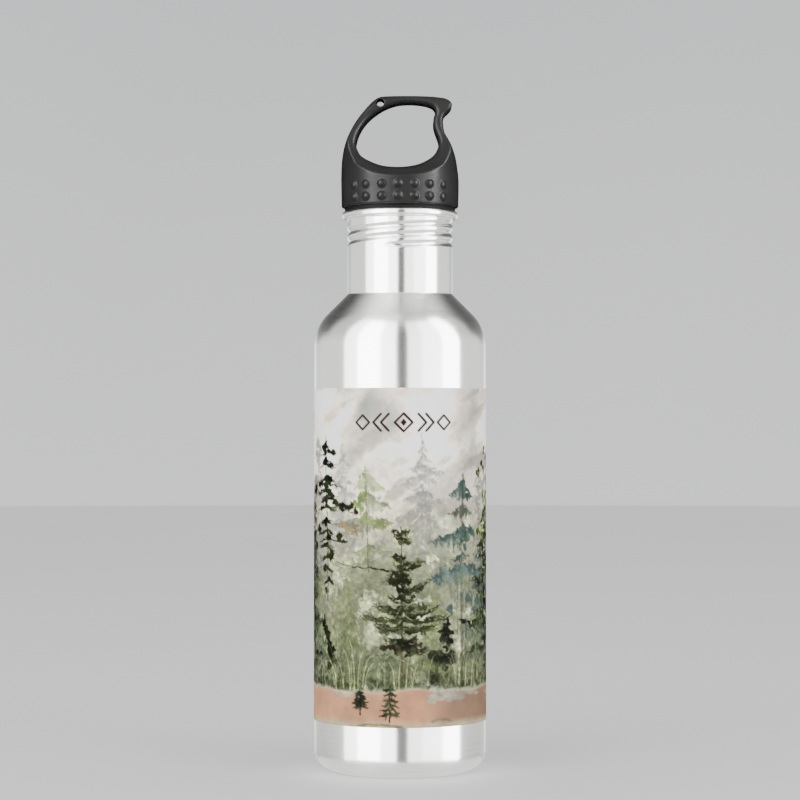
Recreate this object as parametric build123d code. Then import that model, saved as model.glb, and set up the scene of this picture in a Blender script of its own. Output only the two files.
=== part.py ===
from build123d import *
import math
import os

os.makedirs("parts", exist_ok=True)

# ---------------------------------------------------------------- dimensions
# Frame: origin on the bottle's axis at the plane it stands on, +Z up,
# the broad face of the cap loop looks along -Y and +Y. All in millimetres.
body_r = 35.5            # outside radius of the bottle body
wall = 0.5               # steel sheet
corner_r = 8.3           # outside radius of the lower corner
foot_r = 26.6            # inner edge of the ring the bottle stands on
foot_turn_r = 1.6        # outside radius of the turned-in foot
foot_top = 4.6           # top edge of the turned-in foot
shoulder_z = 174.7       # where the straight body ends
shoulder_arc_r = 18.2    # outside radius of the shoulder arc
neck_r = 21.9            # outside radius of the neck
lip_r = 24.1             # outside radius of the rolled lip
lip_bottom = 227.1
lip_top = 230.3

thread_lead = 8.0        # rise per turn
thread_starts = 2        # so neighbouring grooves are 4.0 apart
groove_r = 1.1           # radius of the rolled groove's section
groove_depth = 0.85      # depth of the groove below the neck's outside
groove_turns = 1.39      # length of each start
groove_z0 = 214.75       # height of the lower run-out
thread_start_deg = -30.0 # where the first start begins, from -Y towards +X
runout_deg = 34.0        # angle over which a groove fades in and out

disc_r = 25.0            # welded base disc
disc_low = 2.4
disc_plate = 4.0
disc_dome = 6.0

wrap_low = 21.0          # printed film round the body
wrap_top = 157.0
wrap_t = 0.10
wrap_gap = 0.01
seam_gap = 0.7           # width of the butt seam at the back

skirt_r = 24.4           # outside radius of the cap's skirt
skirt_bottom = 231.9
skirt_edge_r = 0.7
pocket_r = 22.95         # pocket inside the skirt for the plug's flange
pocket_top = 235.6
cap_top = 277.9
rim_fillet = 1.5         # rounding of the finger opening's edges
bump_r = 1.65            # outline radius of a grip bump
bump_h = 0.75            # how far a bump stands out
bump_rows = (240.1, 235.2)
bump_angles = (-50.6, -34.8, -18.1, -1.9, 14.1, 29.7, 46.3)
lanyard_x, lanyard_z, lanyard_r = -8.1, 275.0, 1.6

flange_r = 22.75         # plug flange
flange_low, flange_top = 232.4, 235.6
plug_root_r = 19.9       # root radius of the plug's thread
plug_bottom = 213.4
plug_bore_r = 17.6
plug_recess_top = 233.0
rib_r = 1.05             # section radius of the plug's thread rib
rib_centre_r = 20.0
rib_turns = 1.25
liner_t = 1.2

gasket_in_r = 20.25
gasket_out_r = 22.85

# ------------------------------------------------------------------- helpers


def revolve_wire(edges):
    """Solid of revolution about Z from a closed wire in the XZ plane."""
    return revolve(make_face(Wire(edges)), Axis.Z, 360)


def pt(r, z):
    return Vector(r, 0, z)


def line(a, b):
    return Edge.make_line(a, b)


def arc(a, m, b):
    return Edge.make_three_point_arc(a, m, b)


def arc_c(c, r, a0, a1):
    """Arc in the XZ plane about centre c from angle a0 to a1, in degrees."""
    def p(a):
        return pt(c[0] + r * math.cos(math.radians(a)), c[1] + r * math.sin(math.radians(a)))
    return arc(p(a0), p((a0 + a1) / 2), p(a1))


def helix_pipe(centre_r, section_r, z0, turns, start_deg, fade_r, fade_deg):
    """Round-section pipe along a right-hand helix about Z.

    centre_r is the helix radius; over fade_deg at each end the radius moves
    by fade_r, so the rib or groove runs out instead of stopping square.
    start_deg is counted from -Y towards +X.
    """
    n = max(24, int(turns * 40))
    pts = []
    for i in range(n + 1):
        th = 360.0 * turns * i / n
        e = min(th, 360.0 * turns - th)
        s = 0.0
        if e < fade_deg:
            u = 1 - e / fade_deg
            s = u * u * (3 - 2 * u)
        r = centre_r + fade_r * s
        z = z0 + thread_lead * th / 360.0
        a = math.radians(start_deg + th)
        pts.append(Vector(r * math.sin(a), -r * math.cos(a), z))
    path = Edge.make_spline(pts)
    t = path.tangent_at(0)
    prof = Plane(origin=pts[0], z_dir=t) * Circle(section_r)
    return sweep(prof, path=Wire([path]), is_frenet=True)


def single(shape, name):
    """The one solid of a shape, as a named part."""
    s = shape.solids()
    if len(s) != 1:
        s = sorted(s, key=lambda q: q.volume)
        print(name, "has", len(s), "solids, volumes", [round(q.volume, 3) for q in s])
    out = s[-1] if len(s) > 1 else s[0]
    out.label = name
    return out


def save(shape, name):
    shape.label = name
    export_step(shape, "parts/%s.step" % name)
    bb = shape.bounding_box()
    print("%-14s vol %10.2f  z %.2f..%.2f  valid %s" % (name, shape.volume, bb.min.Z, bb.max.Z, shape.is_valid))


# ---------------------------------------------------------------- body shell
k = math.sqrt(0.5)
sc = body_r - shoulder_arc_r                      # centre radius of the shoulder arc
r45, z45 = sc + shoulder_arc_r * k, shoulder_z + shoulder_arc_r * k
neck_z = z45 + (r45 - neck_r)                     # foot of the neck on the 45 degree cone
ri = shoulder_arc_r - wall
r45i, z45i = sc + ri * k, shoulder_z + ri * k
neck_ri = neck_r - wall
neck_zi = z45i + (r45i - neck_ri)
cr = body_r - corner_r                            # centre radius of the lower corner
lip_cr = lip_r - 1.4                              # centre radius of the rolled bead

outer = [
    line(pt(0, foot_top), pt(foot_r - foot_turn_r, foot_top)),
    line(pt(foot_r - foot_turn_r, foot_top), pt(foot_r - foot_turn_r, foot_turn_r)),
    arc_c((foot_r, foot_turn_r), foot_turn_r, 180, 270),
    line(pt(foot_r, 0), pt(cr, 0)),
    arc_c((cr, corner_r), corner_r, -90, 0),
    line(pt(body_r, corner_r), pt(body_r, shoulder_z)),
    arc_c((sc, shoulder_z), shoulder_arc_r, 0, 45),
    line(pt(r45, z45), pt(neck_r, neck_z)),
    line(pt(neck_r, neck_z), pt(neck_r, lip_bottom + 0.15)),
    line(pt(neck_r, lip_bottom + 0.15), pt(lip_cr, lip_bottom)),
    arc_c((lip_cr, lip_bottom + 1.4), 1.4, -90, 0),
    line(pt(lip_r, lip_bottom + 1.4), pt(lip_r, lip_top - 1.4)),
    arc_c((lip_cr, lip_top - 1.4), 1.4, 0, 90),
    line(pt(lip_cr, lip_top), pt(0, lip_top)),
    line(pt(0, lip_top), pt(0, foot_top)),
]
outer_solid = revolve_wire(outer)

lip_in = lip_cr - 1.4 + 0.1
inner = [
    line(pt(0, foot_top - 1.0), pt(foot_r - foot_turn_r + wall, foot_top - 1.0)),
    line(pt(foot_r - foot_turn_r + wall, foot_top - 1.0), pt(foot_r - foot_turn_r + wall, foot_turn_r)),
    arc_c((foot_r, foot_turn_r), foot_turn_r - wall, 180, 270),
    line(pt(foot_r, wall), pt(cr, wall)),
    arc_c((cr, corner_r), corner_r - wall, -90, 0),
    line(pt(body_r - wall, corner_r), pt(body_r - wall, shoulder_z)),
    arc_c((sc, shoulder_z), ri, 0, 45),
    line(pt(r45i, z45i), pt(neck_ri, neck_zi)),
    line(pt(neck_ri, neck_zi), pt(neck_ri, lip_top - 1.3)),
    arc(pt(neck_ri, lip_top - 1.3),
        pt(lip_cr - 1.3 * k, lip_top - 1.3 + 1.3 * k),
        pt(lip_cr, lip_top)),
    line(pt(lip_cr, lip_top), pt(lip_cr, lip_top + 2)),
    line(pt(lip_cr, lip_top + 2), pt(0, lip_top + 2)),
    line(pt(0, lip_top + 2), pt(0, foot_top - 1.0)),
]
inner_solid = revolve_wire(inner)
# the turned-in foot stands inside the cavity's own space: keep its sheet
foot_sheet = revolve_wire([
    line(pt(foot_r - foot_turn_r, foot_turn_r), pt(foot_r - foot_turn_r, foot_top)),
    line(pt(foot_r - foot_turn_r, foot_top), pt(foot_r - foot_turn_r + wall, foot_top)),
    line(pt(foot_r - foot_turn_r + wall, foot_top), pt(foot_r - foot_turn_r + wall, foot_turn_r)),
    arc_c((foot_r, foot_turn_r), foot_turn_r - wall, 180, 270),
    line(pt(foot_r, wall), pt(foot_r, 0)),
    arc_c((foot_r, foot_turn_r), foot_turn_r, 270, 180),
])

groove_cr = neck_r + groove_r - groove_depth
fade = groove_depth + 0.25
for s in range(thread_starts):
    a0 = thread_start_deg + 360.0 / thread_starts * s
    outer_solid = outer_solid - helix_pipe(groove_cr, groove_r, groove_z0, groove_turns, a0, fade, runout_deg)
    inner_solid = inner_solid - helix_pipe(groove_cr, groove_r + wall, groove_z0, groove_turns, a0, fade, runout_deg)

centre_block = Pos(0, 0, foot_top / 2) * Cylinder(foot_r - foot_turn_r, foot_top + 4)
shell = (outer_solid - inner_solid) - centre_block + foot_sheet
body_shell = single(shell, "body_shell")
save(body_shell, "body_shell")

# ----------------------------------------------------------------- base disc
d_in = disc_r - wall
plate_r = disc_r - 1.2                            # where the dome meets the rim's bend
dome_h = disc_dome - disc_plate
dome_R = (dome_h ** 2 + plate_r ** 2) / (2 * dome_h)
half = plate_r * 0.55
mid_z = disc_dome - dome_R + math.sqrt(dome_R ** 2 - half ** 2)
base = revolve_wire([
    line(pt(d_in, disc_low), pt(disc_r, disc_low)),
    line(pt(disc_r, disc_low), pt(disc_r, disc_plate - 0.7)),
    arc_c((plate_r, disc_plate - 0.7), 1.2, 0, 90),
    arc(pt(plate_r, disc_plate + 0.5), pt(half, mid_z + 0.5), pt(0, disc_dome + 0.5)),
    line(pt(0, disc_dome + 0.5), pt(0, disc_dome)),
    arc(pt(0, disc_dome), pt(half, mid_z), pt(plate_r, disc_plate)),
    arc_c((plate_r, disc_plate - 0.7), 0.7, 90, 0),
    line(pt(d_in, disc_plate - 0.7), pt(d_in, disc_low)),
])
save(single(base, "base_disc"), "base_disc")

# ---------------------------------------------------------------- print wrap
h = wrap_top - wrap_low
wrap = Pos(0, 0, (wrap_low + wrap_top) / 2) * (
    Cylinder(body_r + wrap_gap + wrap_t, h) - Cylinder(body_r + wrap_gap, h + 2))
wrap = wrap - Pos(0, body_r, (wrap_low + wrap_top) / 2) * Box(seam_gap, 8, h + 2)
save(single(wrap, "print_wrap"), "print_wrap")

# ----------------------------------------------------------------- cap shell
# front outline of the loop, (X, Z), clockwise from the lower left
left = [(-25.6, 242.6), (-24.75, 245.6), (-24.1, 248.9), (-23.5, 251.6), (-22.75, 255.1), (-21.7, 258.6), (-20.25, 262.0),
        (-18.5, 265.4), (-16.3, 268.85), (-14.3, 271.4), (-12.2, 273.9), (-10.4, 275.65), (-8.4, 276.9),
        (-6.0, 277.5), (-2.0, 277.8), (3.0, 277.9), (8.0, 277.75), (13.3, 277.4), (17.0, 276.9),
        (19.5, 276.3), (21.0, 275.1), (21.6, 273.8), (21.35, 272.2), (20.1, 270.55), (18.7, 268.9),
        (18.05, 267.1), (17.9, 265.3), (18.0, 263.7), (18.45, 262.0), (19.4, 260.3), (20.3, 258.5),
        (21.1, 256.8), (22.3, 253.4), (23.3, 250.2), (24.1, 247.6), (25.6, 242.6)]
hole = [(-17.3, 256.4), (-17.15, 254.4), (-16.5, 252.5), (-15.2, 251.2), (-13.2, 249.9), (-10.6, 248.5),
        (-7.0, 247.55), (-3.6, 247.15), (0.0, 247.05), (3.0, 247.25), (6.2, 247.75), (9.3, 248.55),
        (12.0, 249.9), (13.6, 251.2), (14.8, 252.8), (15.5, 254.7), (15.7, 256.6), (15.3, 258.9),
        (14.7, 260.6), (14.1, 262.8), (13.85, 265.0), (14.1, 267.4), (14.5, 269.6), (14.55, 271.3),
        (14.0, 272.9), (12.6, 274.1), (10.0, 274.7), (6.0, 275.0), (2.0, 275.0), (-1.5, 274.6),
        (-4.6, 273.5), (-7.0, 271.9), (-9.6, 269.1), (-11.9, 267.0), (-13.9, 264.8), (-15.2, 262.6),
        (-16.4, 260.2), (-17.1, 258.2)]
# side profile of the cap, (half width in Y, Z)
side = [(27.4, 241.7), (24.4, 243.5), (21.8, 244.95), (19.8, 246.4), (17.0, 248.5), (15.6, 250.1), (12.9, 254.5),
        (10.5, 260.0), (7.6, 268.0), (6.0, 275.0), (5.3, 277.2), (3.6, 277.95), (0.0, 278.1)]


def spline_face(pts, closed, base_z=None):
    v = [Vector(x, 0, z) for x, z in pts]
    if closed:
        return make_face(Wire([Edge.make_spline(v, periodic=True)]))
    a, b = v[0], v[-1]
    lo1, lo2 = Vector(a.X, 0, base_z), Vector(b.X, 0, base_z)
    return make_face(Wire([Edge.make_spline(v), line(b, lo2), line(lo2, lo1), line(lo1, a)]))


front_face = spline_face(left, False, skirt_bottom - 2)
front_solid = extrude(front_face, 30, dir=(0, 1, 0), both=True)
side_pts = [(-y, z) for y, z in side] + [(y, z) for y, z in reversed(side[:-1])]
side_v = [Vector(0, y, z) for y, z in side_pts]
side_wire = Wire([
    Edge.make_spline(side_v),
    line(side_v[-1], Vector(0, side[0][0], 228)), line(Vector(0, side[0][0], 228), Vector(0, -side[0][0], 228)),
    line(Vector(0, -side[0][0], 228), side_v[0])])
side_solid = extrude(make_face(side_wire), 30, dir=(1, 0, 0), both=True)
skirt = revolve_wire([
    line(pt(0, skirt_bottom), pt(skirt_r - skirt_edge_r, skirt_bottom)),
    arc_c((skirt_r - skirt_edge_r, skirt_bottom + skirt_edge_r), skirt_edge_r, -90, 0),
    line(pt(skirt_r, skirt_bottom + skirt_edge_r), pt(skirt_r, 280)),
    line(pt(skirt_r, 280), pt(0, 280)),
    line(pt(0, 280), pt(0, skirt_bottom)),
])
cap = skirt & front_solid & side_solid
print("cap blank", cap.volume, len(cap.solids()), cap.is_valid)
opening = extrude(spline_face(hole, True), 30, dir=(0, 1, 0), both=True)
cap_open = cap - opening
print("cap open", cap_open.volume, len(cap_open.solids()), cap_open.is_valid)
rim_edges = []
for e in cap_open.edges():
    eb = e.bounding_box()
    if eb.min.Z > 246.0 and eb.max.Z < 275.6 and eb.max.X < 17 and eb.min.X > -18.5 and eb.size.X > 3:
        rim_edges.append(e)
cap_open = fillet(rim_edges, rim_fillet)
print("cap rounded", cap_open.volume, len(rim_edges), cap_open.is_valid)
pocket = Pos(0, 0, (skirt_bottom - 1 + pocket_top) / 2) * Cylinder(pocket_r, pocket_top - skirt_bottom + 1)
cap_open = cap_open - pocket
lan = Pos(lanyard_x, 0, lanyard_z) * Rot(90, 0, 0) * Cylinder(lanyard_r, 40)
cap_open = cap_open - lan
# hollow under the crown, so that the moulding keeps an even wall
core = revolve_wire([
    line(pt(0, pocket_top - 0.5), pt(17.0, pocket_top - 0.5)),
    line(pt(17.0, pocket_top - 0.5), pt(15.6, 240.8)),
    line(pt(15.6, 240.8), pt(13.0, 243.2)),
    line(pt(13.0, 243.2), pt(0, 243.2)),
    line(pt(0, 243.2), pt(0, pocket_top - 0.5)),
])
cap_open = cap_open - core
# grip bumps, front and back
ball_r = (bump_r ** 2 + bump_h ** 2) / (2 * bump_h)
inside = Pos(0, 0, 238) * Cylinder(skirt_r - 0.4, 30)
bumps = []
for back in (0, 180):
    for a in bump_angles:
        for z in bump_rows:
            t = math.radians(a + back)
            rr = skirt_r + bump_h - ball_r - 0.03
            bumps.append(Pos(rr * math.sin(t), -rr * math.cos(t), z) * Sphere(ball_r) - inside)
cap_shell = cap_open
for b in bumps:
    cap_shell = cap_shell + b
cap_shell = single(cap_shell, "cap_shell")
save(cap_shell, "cap_shell")

# --------------------------------------------------------------- thread plug
plug = revolve_wire([
    line(pt(plug_bore_r, plug_bottom), pt(plug_root_r - 0.6, plug_bottom)),
    line(pt(plug_root_r - 0.6, plug_bottom), pt(plug_root_r, plug_bottom + 0.6)),
    line(pt(plug_root_r, plug_bottom + 0.6), pt(plug_root_r, flange_low)),
    line(pt(plug_root_r, flange_low), pt(flange_r, flange_low)),
    line(pt(flange_r, flange_low), pt(flange_r, flange_top)),
    line(pt(flange_r, flange_top), pt(18.2, flange_top)),
    line(pt(18.2, flange_top), pt(plug_bore_r, plug_recess_top)),
    line(pt(plug_bore_r, plug_recess_top), pt(plug_bore_r, plug_bottom)),
])
rib_z0 = groove_z0 + thread_lead / thread_starts / 2
for s in range(thread_starts):
    a0 = thread_start_deg + 360.0 / thread_starts * s
    rib = helix_pipe(rib_centre_r, rib_r, rib_z0, rib_turns, a0, -(rib_centre_r + rib_r - plug_root_r + 0.1), 26.0)
    rib = rib - Pos(0, 0, 225) * Cylinder(plug_bore_r + 0.8, 60)
    plug = plug + rib
plug = single(plug, "thread_plug")
save(plug, "thread_plug")

# ---------------------------------------------------------------- plug liner
liner = Pos(0, 0, plug_bottom + 0.4 + liner_t / 2) * Cylinder(plug_bore_r, liner_t)
for i in range(3):
    liner = liner + Pos(0, 0, plug_bottom + 0.4 - 0.0) * (
        Cylinder(5.0 + 4.2 * i, 0.5) - Cylinder(4.3 + 4.2 * i, 1.0))
save(single(liner, "plug_liner"), "plug_liner")

# ---------------------------------------------------------------- cap gasket
gasket = revolve_wire([
    line(pt(gasket_in_r, lip_top), pt(gasket_out_r - 0.35, lip_top)),
    arc_c((gasket_out_r - 0.35, lip_top + 0.35), 0.35, -90, 0),
    line(pt(gasket_out_r, lip_top + 0.35), pt(gasket_out_r, flange_low - 0.35)),
    arc_c((gasket_out_r - 0.35, flange_low - 0.35), 0.35, 0, 90),
    line(pt(gasket_out_r - 0.35, flange_low), pt(gasket_in_r, flange_low)),
    line(pt(gasket_in_r, flange_low), pt(gasket_in_r, lip_top)),
])
save(single(gasket, "cap_gasket"), "cap_gasket")
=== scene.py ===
import math

import bpy
import numpy as np
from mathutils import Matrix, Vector


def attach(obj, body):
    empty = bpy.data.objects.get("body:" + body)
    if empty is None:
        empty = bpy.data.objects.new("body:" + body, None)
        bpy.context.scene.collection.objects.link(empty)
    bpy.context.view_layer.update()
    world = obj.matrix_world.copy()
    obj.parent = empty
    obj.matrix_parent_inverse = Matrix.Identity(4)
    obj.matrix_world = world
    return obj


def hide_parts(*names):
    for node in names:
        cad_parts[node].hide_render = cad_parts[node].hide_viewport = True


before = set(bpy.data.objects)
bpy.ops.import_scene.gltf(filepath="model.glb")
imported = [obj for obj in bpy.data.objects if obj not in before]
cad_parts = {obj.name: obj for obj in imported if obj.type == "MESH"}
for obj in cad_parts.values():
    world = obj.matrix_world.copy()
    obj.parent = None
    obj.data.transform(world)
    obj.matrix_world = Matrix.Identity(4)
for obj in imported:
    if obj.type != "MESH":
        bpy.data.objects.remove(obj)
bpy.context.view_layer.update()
MM = 0.001
rng = np.random.default_rng(20731)

# ------------------------------------------------------------------ sizes, mm
BODY_R, WALL, CORNER_R = 35.5, 0.5, 8.3
SHOULDER_Z, SHOULDER_R = 174.7, 18.2
NECK_R, LIP_R, LIP_LOW, LIP_TOP = 21.9, 24.1, 227.1, 230.3
LEAD, GROOVE_Z0, GROOVE_TURNS, GROOVE_DEPTH = 8.0, 214.75, 1.39, 0.85
WRAP_LOW, WRAP_TOP, WRAP_R = 21.0, 157.0, 35.61
SKIRT_R, SKIRT_LOW = 24.4, 231.9


# ------------------------------------------------------------- mesh utilities
def new_mesh(name, verts, faces, smooth=True):
    me = bpy.data.meshes.new(name)
    verts = np.asarray(verts, np.float32) * MM
    faces = np.asarray(faces, np.int32)
    n = faces.shape[1]
    me.vertices.add(len(verts))
    me.vertices.foreach_set("co", verts.ravel())
    me.loops.add(faces.size)
    me.loops.foreach_set("vertex_index", faces.ravel())
    me.polygons.add(len(faces))
    me.polygons.foreach_set("loop_start", np.arange(0, faces.size, n, dtype=np.int32))
    me.polygons.foreach_set("loop_total", np.full(len(faces), n, np.int32))
    if smooth:
        me.polygons.foreach_set("use_smooth", np.ones(len(faces), bool))
    me.update(calc_edges=True)
    me.validate()
    ob = bpy.data.objects.new(name, me)
    bpy.context.scene.collection.objects.link(ob)
    return ob


def arc_pts(c, r, a0, a1, n):
    a = np.radians(np.linspace(a0, a1, n))
    return np.stack([c[0] + r * np.cos(a), c[1] + r * np.sin(a)], 1)


def seg(a, b, step):
    a, b = np.array(a, float), np.array(b, float)
    n = max(2, int(math.ceil(np.linalg.norm(b - a) / step)) + 1)
    return a + (b - a) * np.linspace(0, 1, n)[:, None]


def chain(parts):
    out = [parts[0]]
    for p in parts[1:]:
        out.append(p[1:] if np.linalg.norm(p[0] - out[-1][-1]) < 1e-6 else p)
    return np.concatenate(out)


def lathe_faces(rows, cols, closed_profile):
    r = np.arange(rows if closed_profile else rows - 1)
    c = np.arange(cols)
    R, C = np.meshgrid(r, c, indexing="ij")
    R2, C2 = (R + 1) % rows, (C + 1) % cols
    return np.stack([R * cols + C, R * cols + C2, R2 * cols + C2, R2 * cols + C], -1).reshape(-1, 4)


# --------------------------------------------------------------- steel bottle
def groove(angle_deg, z):
    """Depth of the rolled thread at an angle counted from -Y towards +X."""
    depth = np.zeros(np.broadcast(angle_deg, z).shape)
    total = 360 * GROOVE_TURNS
    for start in (-30.0, 150.0):
        for k in (0, 1):
            th = (angle_deg - start) % 360 + 360 * k
            ok = th <= total
            e = np.minimum(th, total - th)
            u = np.clip(e / 40.0, 0, 1)
            fade = u * u * (3 - 2 * u)
            d = np.abs(z - (GROOVE_Z0 + LEAD * th / 360))
            w = 1.62
            shape = np.where(d < w, 0.5 + 0.5 * np.cos(math.pi * d / w), 0)
            shape = shape ** 0.85
            depth = np.maximum(depth, np.where(ok, fade * shape, 0))
    return depth * GROOVE_DEPTH


def bottle_mesh():
    k = math.sqrt(0.5)
    sc = BODY_R - SHOULDER_R
    r45, z45 = sc + SHOULDER_R * k, SHOULDER_Z + SHOULDER_R * k
    neck_z = z45 + (r45 - NECK_R)
    ri = SHOULDER_R - WALL
    r45i, z45i = sc + ri * k, SHOULDER_Z + ri * k
    nri = NECK_R - WALL
    nzi = z45i + (r45i - nri)
    cr = BODY_R - CORNER_R
    foot_r, turn = 26.6, 1.6
    # concave root of the neck, a small radius as a spun joint has
    jr = 0.9
    t = jr * math.tan(math.radians(22.5))
    cone_end = (NECK_R + t * k, neck_z - t * k)
    neck_start = (NECK_R, neck_z + t)
    jc = (NECK_R + jr, neck_z + t)
    junction = arc_pts(jc, jr, 225, 180, 7)
    lc = LIP_R - 1.4
    outer = chain([
        seg((foot_r - turn, 4.6), (foot_r - turn, turn), 1.0),
        arc_pts((foot_r, turn), turn, 180, 270, 9),
        seg((foot_r, 0), (cr, 0), 0.4),
        arc_pts((cr, CORNER_R), CORNER_R, -90, 0, 25),
        seg((BODY_R, CORNER_R), (BODY_R, SHOULDER_Z), 6.0),
        arc_pts((sc, SHOULDER_Z), SHOULDER_R, 0, 45, 25),
        seg((r45, z45), cone_end, 1.4),
        junction,
        seg(neck_start, (NECK_R, 212.6), 3.0),
        seg((NECK_R, 212.6), (NECK_R, LIP_LOW - 0.25), 0.26),
        arc_pts((NECK_R + 0.35, LIP_LOW - 0.25 + 0.0), 0.35, 180, 90, 5)[1:],
        seg((NECK_R + 0.35, LIP_LOW + 0.1), (lc - 0.1, LIP_LOW), 0.3),
        arc_pts((lc, LIP_LOW + 1.4), 1.4, -90, 0, 10),
        seg((LIP_R, LIP_LOW + 1.4), (LIP_R, LIP_TOP - 1.4), 0.3),
        arc_pts((lc, LIP_TOP - 1.4), 1.4, 0, 90, 10),
        arc_pts((lc, LIP_TOP - 1.3), 1.3, 90, 180, 9),
    ])
    inner = chain([
        seg((nri, LIP_TOP - 1.4), (nri, 212.6), 0.3),
        seg((nri, 212.6), (nri, nzi), 4.0),
        seg((nri, nzi), (r45i, z45i), 1.6),
        arc_pts((sc, SHOULDER_Z), ri, 45, 0, 14),
        seg((BODY_R - WALL, SHOULDER_Z), (BODY_R - WALL, CORNER_R), 8.0),
        arc_pts((cr, CORNER_R), CORNER_R - WALL, 0, -90, 14),
        seg((cr, WALL), (foot_r, WALL), 0.4),
        arc_pts((foot_r, turn), turn - WALL, 270, 180, 7),
        seg((foot_r - turn + WALL, turn), (foot_r - turn + WALL, 4.6), 1.0),
    ])
    prof = np.concatenate([outer, inner])
    is_outer = np.arange(len(prof)) < len(outer)
    cols = 256
    ang = np.arange(cols) * 360.0 / cols
    A, Z = np.meshgrid(ang, prof[:, 1])
    Rr = np.repeat(prof[:, :1], cols, 1)
    near = (np.abs(Rr - NECK_R) < 0.02) | (np.abs(Rr - nri) < 0.02)
    near &= (Z > 212.0) & (Z < LIP_LOW + 0.05)
    g = groove(A, Z)
    Rr = Rr - np.where(near, g, 0)
    a = np.radians(A)
    V = np.stack([Rr * np.sin(a), -Rr * np.cos(a), Z], -1).reshape(-1, 3)
    F = lathe_faces(len(prof), cols, True)
    return new_mesh("bottle_skin", V, F)


# ------------------------------------------------------------------ cap shape
OUTLINE = [(-26.6, 236), (-26.0, 242.4), (-25.6, 245.6), (-25.25, 248.9), (-24.65, 251.6), (-23.7, 255.1), (-22.45, 258.6),
           (-20.9, 262.0), (-19.2, 265.4), (-17.05, 268.85), (-15.05, 271.4), (-12.95, 273.9), (-11.2, 275.65),
           (-9.6, 276.9), (-7.4, 277.65), (-3.0, 277.9), (3.0, 277.95), (8.0, 277.9), (12.8, 277.7), (16.2, 277.35),
           (18.6, 276.95), (20.3, 276.1), (21.3, 274.9), (21.4, 273.8), (20.9, 272.5), (19.8, 271.3), (18.7, 270.3),
           (18.0, 269.1), (17.75, 267.5), (17.85, 265.3), (18.05, 263.7), (18.5, 262.0), (19.45, 260.3), (20.4, 258.5),
           (21.3, 256.8), (22.7, 253.4), (23.65, 250.2), (24.3, 247.6), (25.6, 242.6), (26.4, 236)]
HOLE = [(-17.95, 256.4), (-17.3, 254.6), (-16.3, 252.75), (-14.6, 251.3), (-12.4, 250.1), (-10.0, 249.0),
        (-7.0, 248.05), (-3.6, 247.6), (0.0, 247.5), (3.0, 247.75), (6.2, 248.35), (8.5, 249.1), (10.5, 250.1),
        (12.4, 251.3), (14.0, 252.8), (15.1, 254.7), (15.8, 256.6), (15.95, 258.4), (15.6, 260.1), (14.8, 262.2),
        (13.95, 264.6), (13.7, 266.8), (13.85, 268.6), (14.25, 269.9), (14.5, 271.1), (14.2, 272.3), (13.2, 273.3),
        (11.2, 274.1), (8.5, 274.65), (5.0, 274.95), (1.5, 274.9), (-1.5, 274.5), (-4.4, 273.6), (-7.1, 272.4),
        (-9.7, 270.75), (-11.8, 269.15), (-13.6, 267.45), (-15.0, 265.75), (-16.1, 264.1), (-16.95, 262.4),
        (-17.7, 260.4), (-18.1, 258.4)]
SIDE = [(29.0, 240.9), (27.4, 241.7), (24.4, 243.5), (21.8, 244.95), (19.8, 246.4), (17.0, 248.5), (15.6, 250.1), (12.9, 254.5),
        (10.5, 260.0), (7.6, 268.0), (6.3, 274.0), (5.6, 277.0), (5.2, 279.5), (5.0, 283.0)]


def smooth_curve(pts, closed, n=10):
    """Centripetal-free Catmull-Rom curve through points."""
    p = np.array(pts, float)
    if closed:
        q = np.concatenate([p[-1:], p, p[:2]])
    else:
        q = np.concatenate([2 * p[:1] - p[1:2], p, 2 * p[-1:] - p[-2:-1]])
    out = []
    for i in range(1, len(q) - 2):
        t = np.linspace(0, 1, n, endpoint=False)[:, None]
        a, b, c, d = q[i - 1], q[i], q[i + 1], q[i + 2]
        out.append(0.5 * ((2 * b) + (c - a) * t + (2 * a - 5 * b + 4 * c - d) * t ** 2 + (3 * b - a - 3 * c + d) * t ** 3))
    out = np.concatenate(out)
    if not closed:
        out = np.concatenate([out, p[-1:]])
    return out


class Field2D:
    """Signed distance to a closed polygon on a grid, read back smoothly."""

    def __init__(self, poly, lo, hi, h):
        self.lo, self.h = np.array(lo, float), h
        xs = np.arange(lo[0], hi[0] + h, h)
        ys = np.arange(lo[1], hi[1] + h, h)
        X, Y = np.meshgrid(xs, ys, indexing="ij")
        P = np.stack([X.ravel(), Y.ravel()], 1)
        a = poly
        b = np.roll(poly, -1, 0)
        best = np.full(len(P), 1e9)
        inside = np.zeros(len(P), bool)
        for s in range(0, len(a)):
            d = b[s] - a[s]
            L = d @ d
            if L < 1e-12:
                continue
            w = P - a[s]
            t = np.clip((w @ d) / L, 0, 1)
            q = w - t[:, None] * d
            best = np.minimum(best, (q * q).sum(1))
            c = (a[s, 1] > P[:, 1]) != (b[s, 1] > P[:, 1])
            if c.any():
                xi = a[s, 0] + (P[:, 1] - a[s, 1]) * d[0] / (d[1] if d[1] != 0 else 1e-12)
                inside ^= c & (P[:, 0] < xi)
        f = np.sqrt(best)
        f[inside] *= -1
        self.f = f.reshape(X.shape)

    def __call__(self, x, y):
        u = np.clip((x - self.lo[0]) / self.h, 0, self.f.shape[0] - 1.001)
        v = np.clip((y - self.lo[1]) / self.h, 0, self.f.shape[1] - 1.001)
        i, j = u.astype(int), v.astype(int)
        u, v = u - i, v - j
        f = self.f
        return ((f[i, j] * (1 - u) + f[i + 1, j] * u) * (1 - v) + (f[i, j + 1] * (1 - u) + f[i + 1, j + 1] * u) * v)


def smax(a, b, k):
    """Intersection with an edge rounded to radius k."""
    ua, ub = np.maximum(a + k, 0), np.maximum(b + k, 0)
    return np.minimum(-k, np.maximum(a, b)) + np.sqrt(ua * ua + ub * ub)


def smin(a, b, k):
    return -smax(-a, -b, k)


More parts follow.
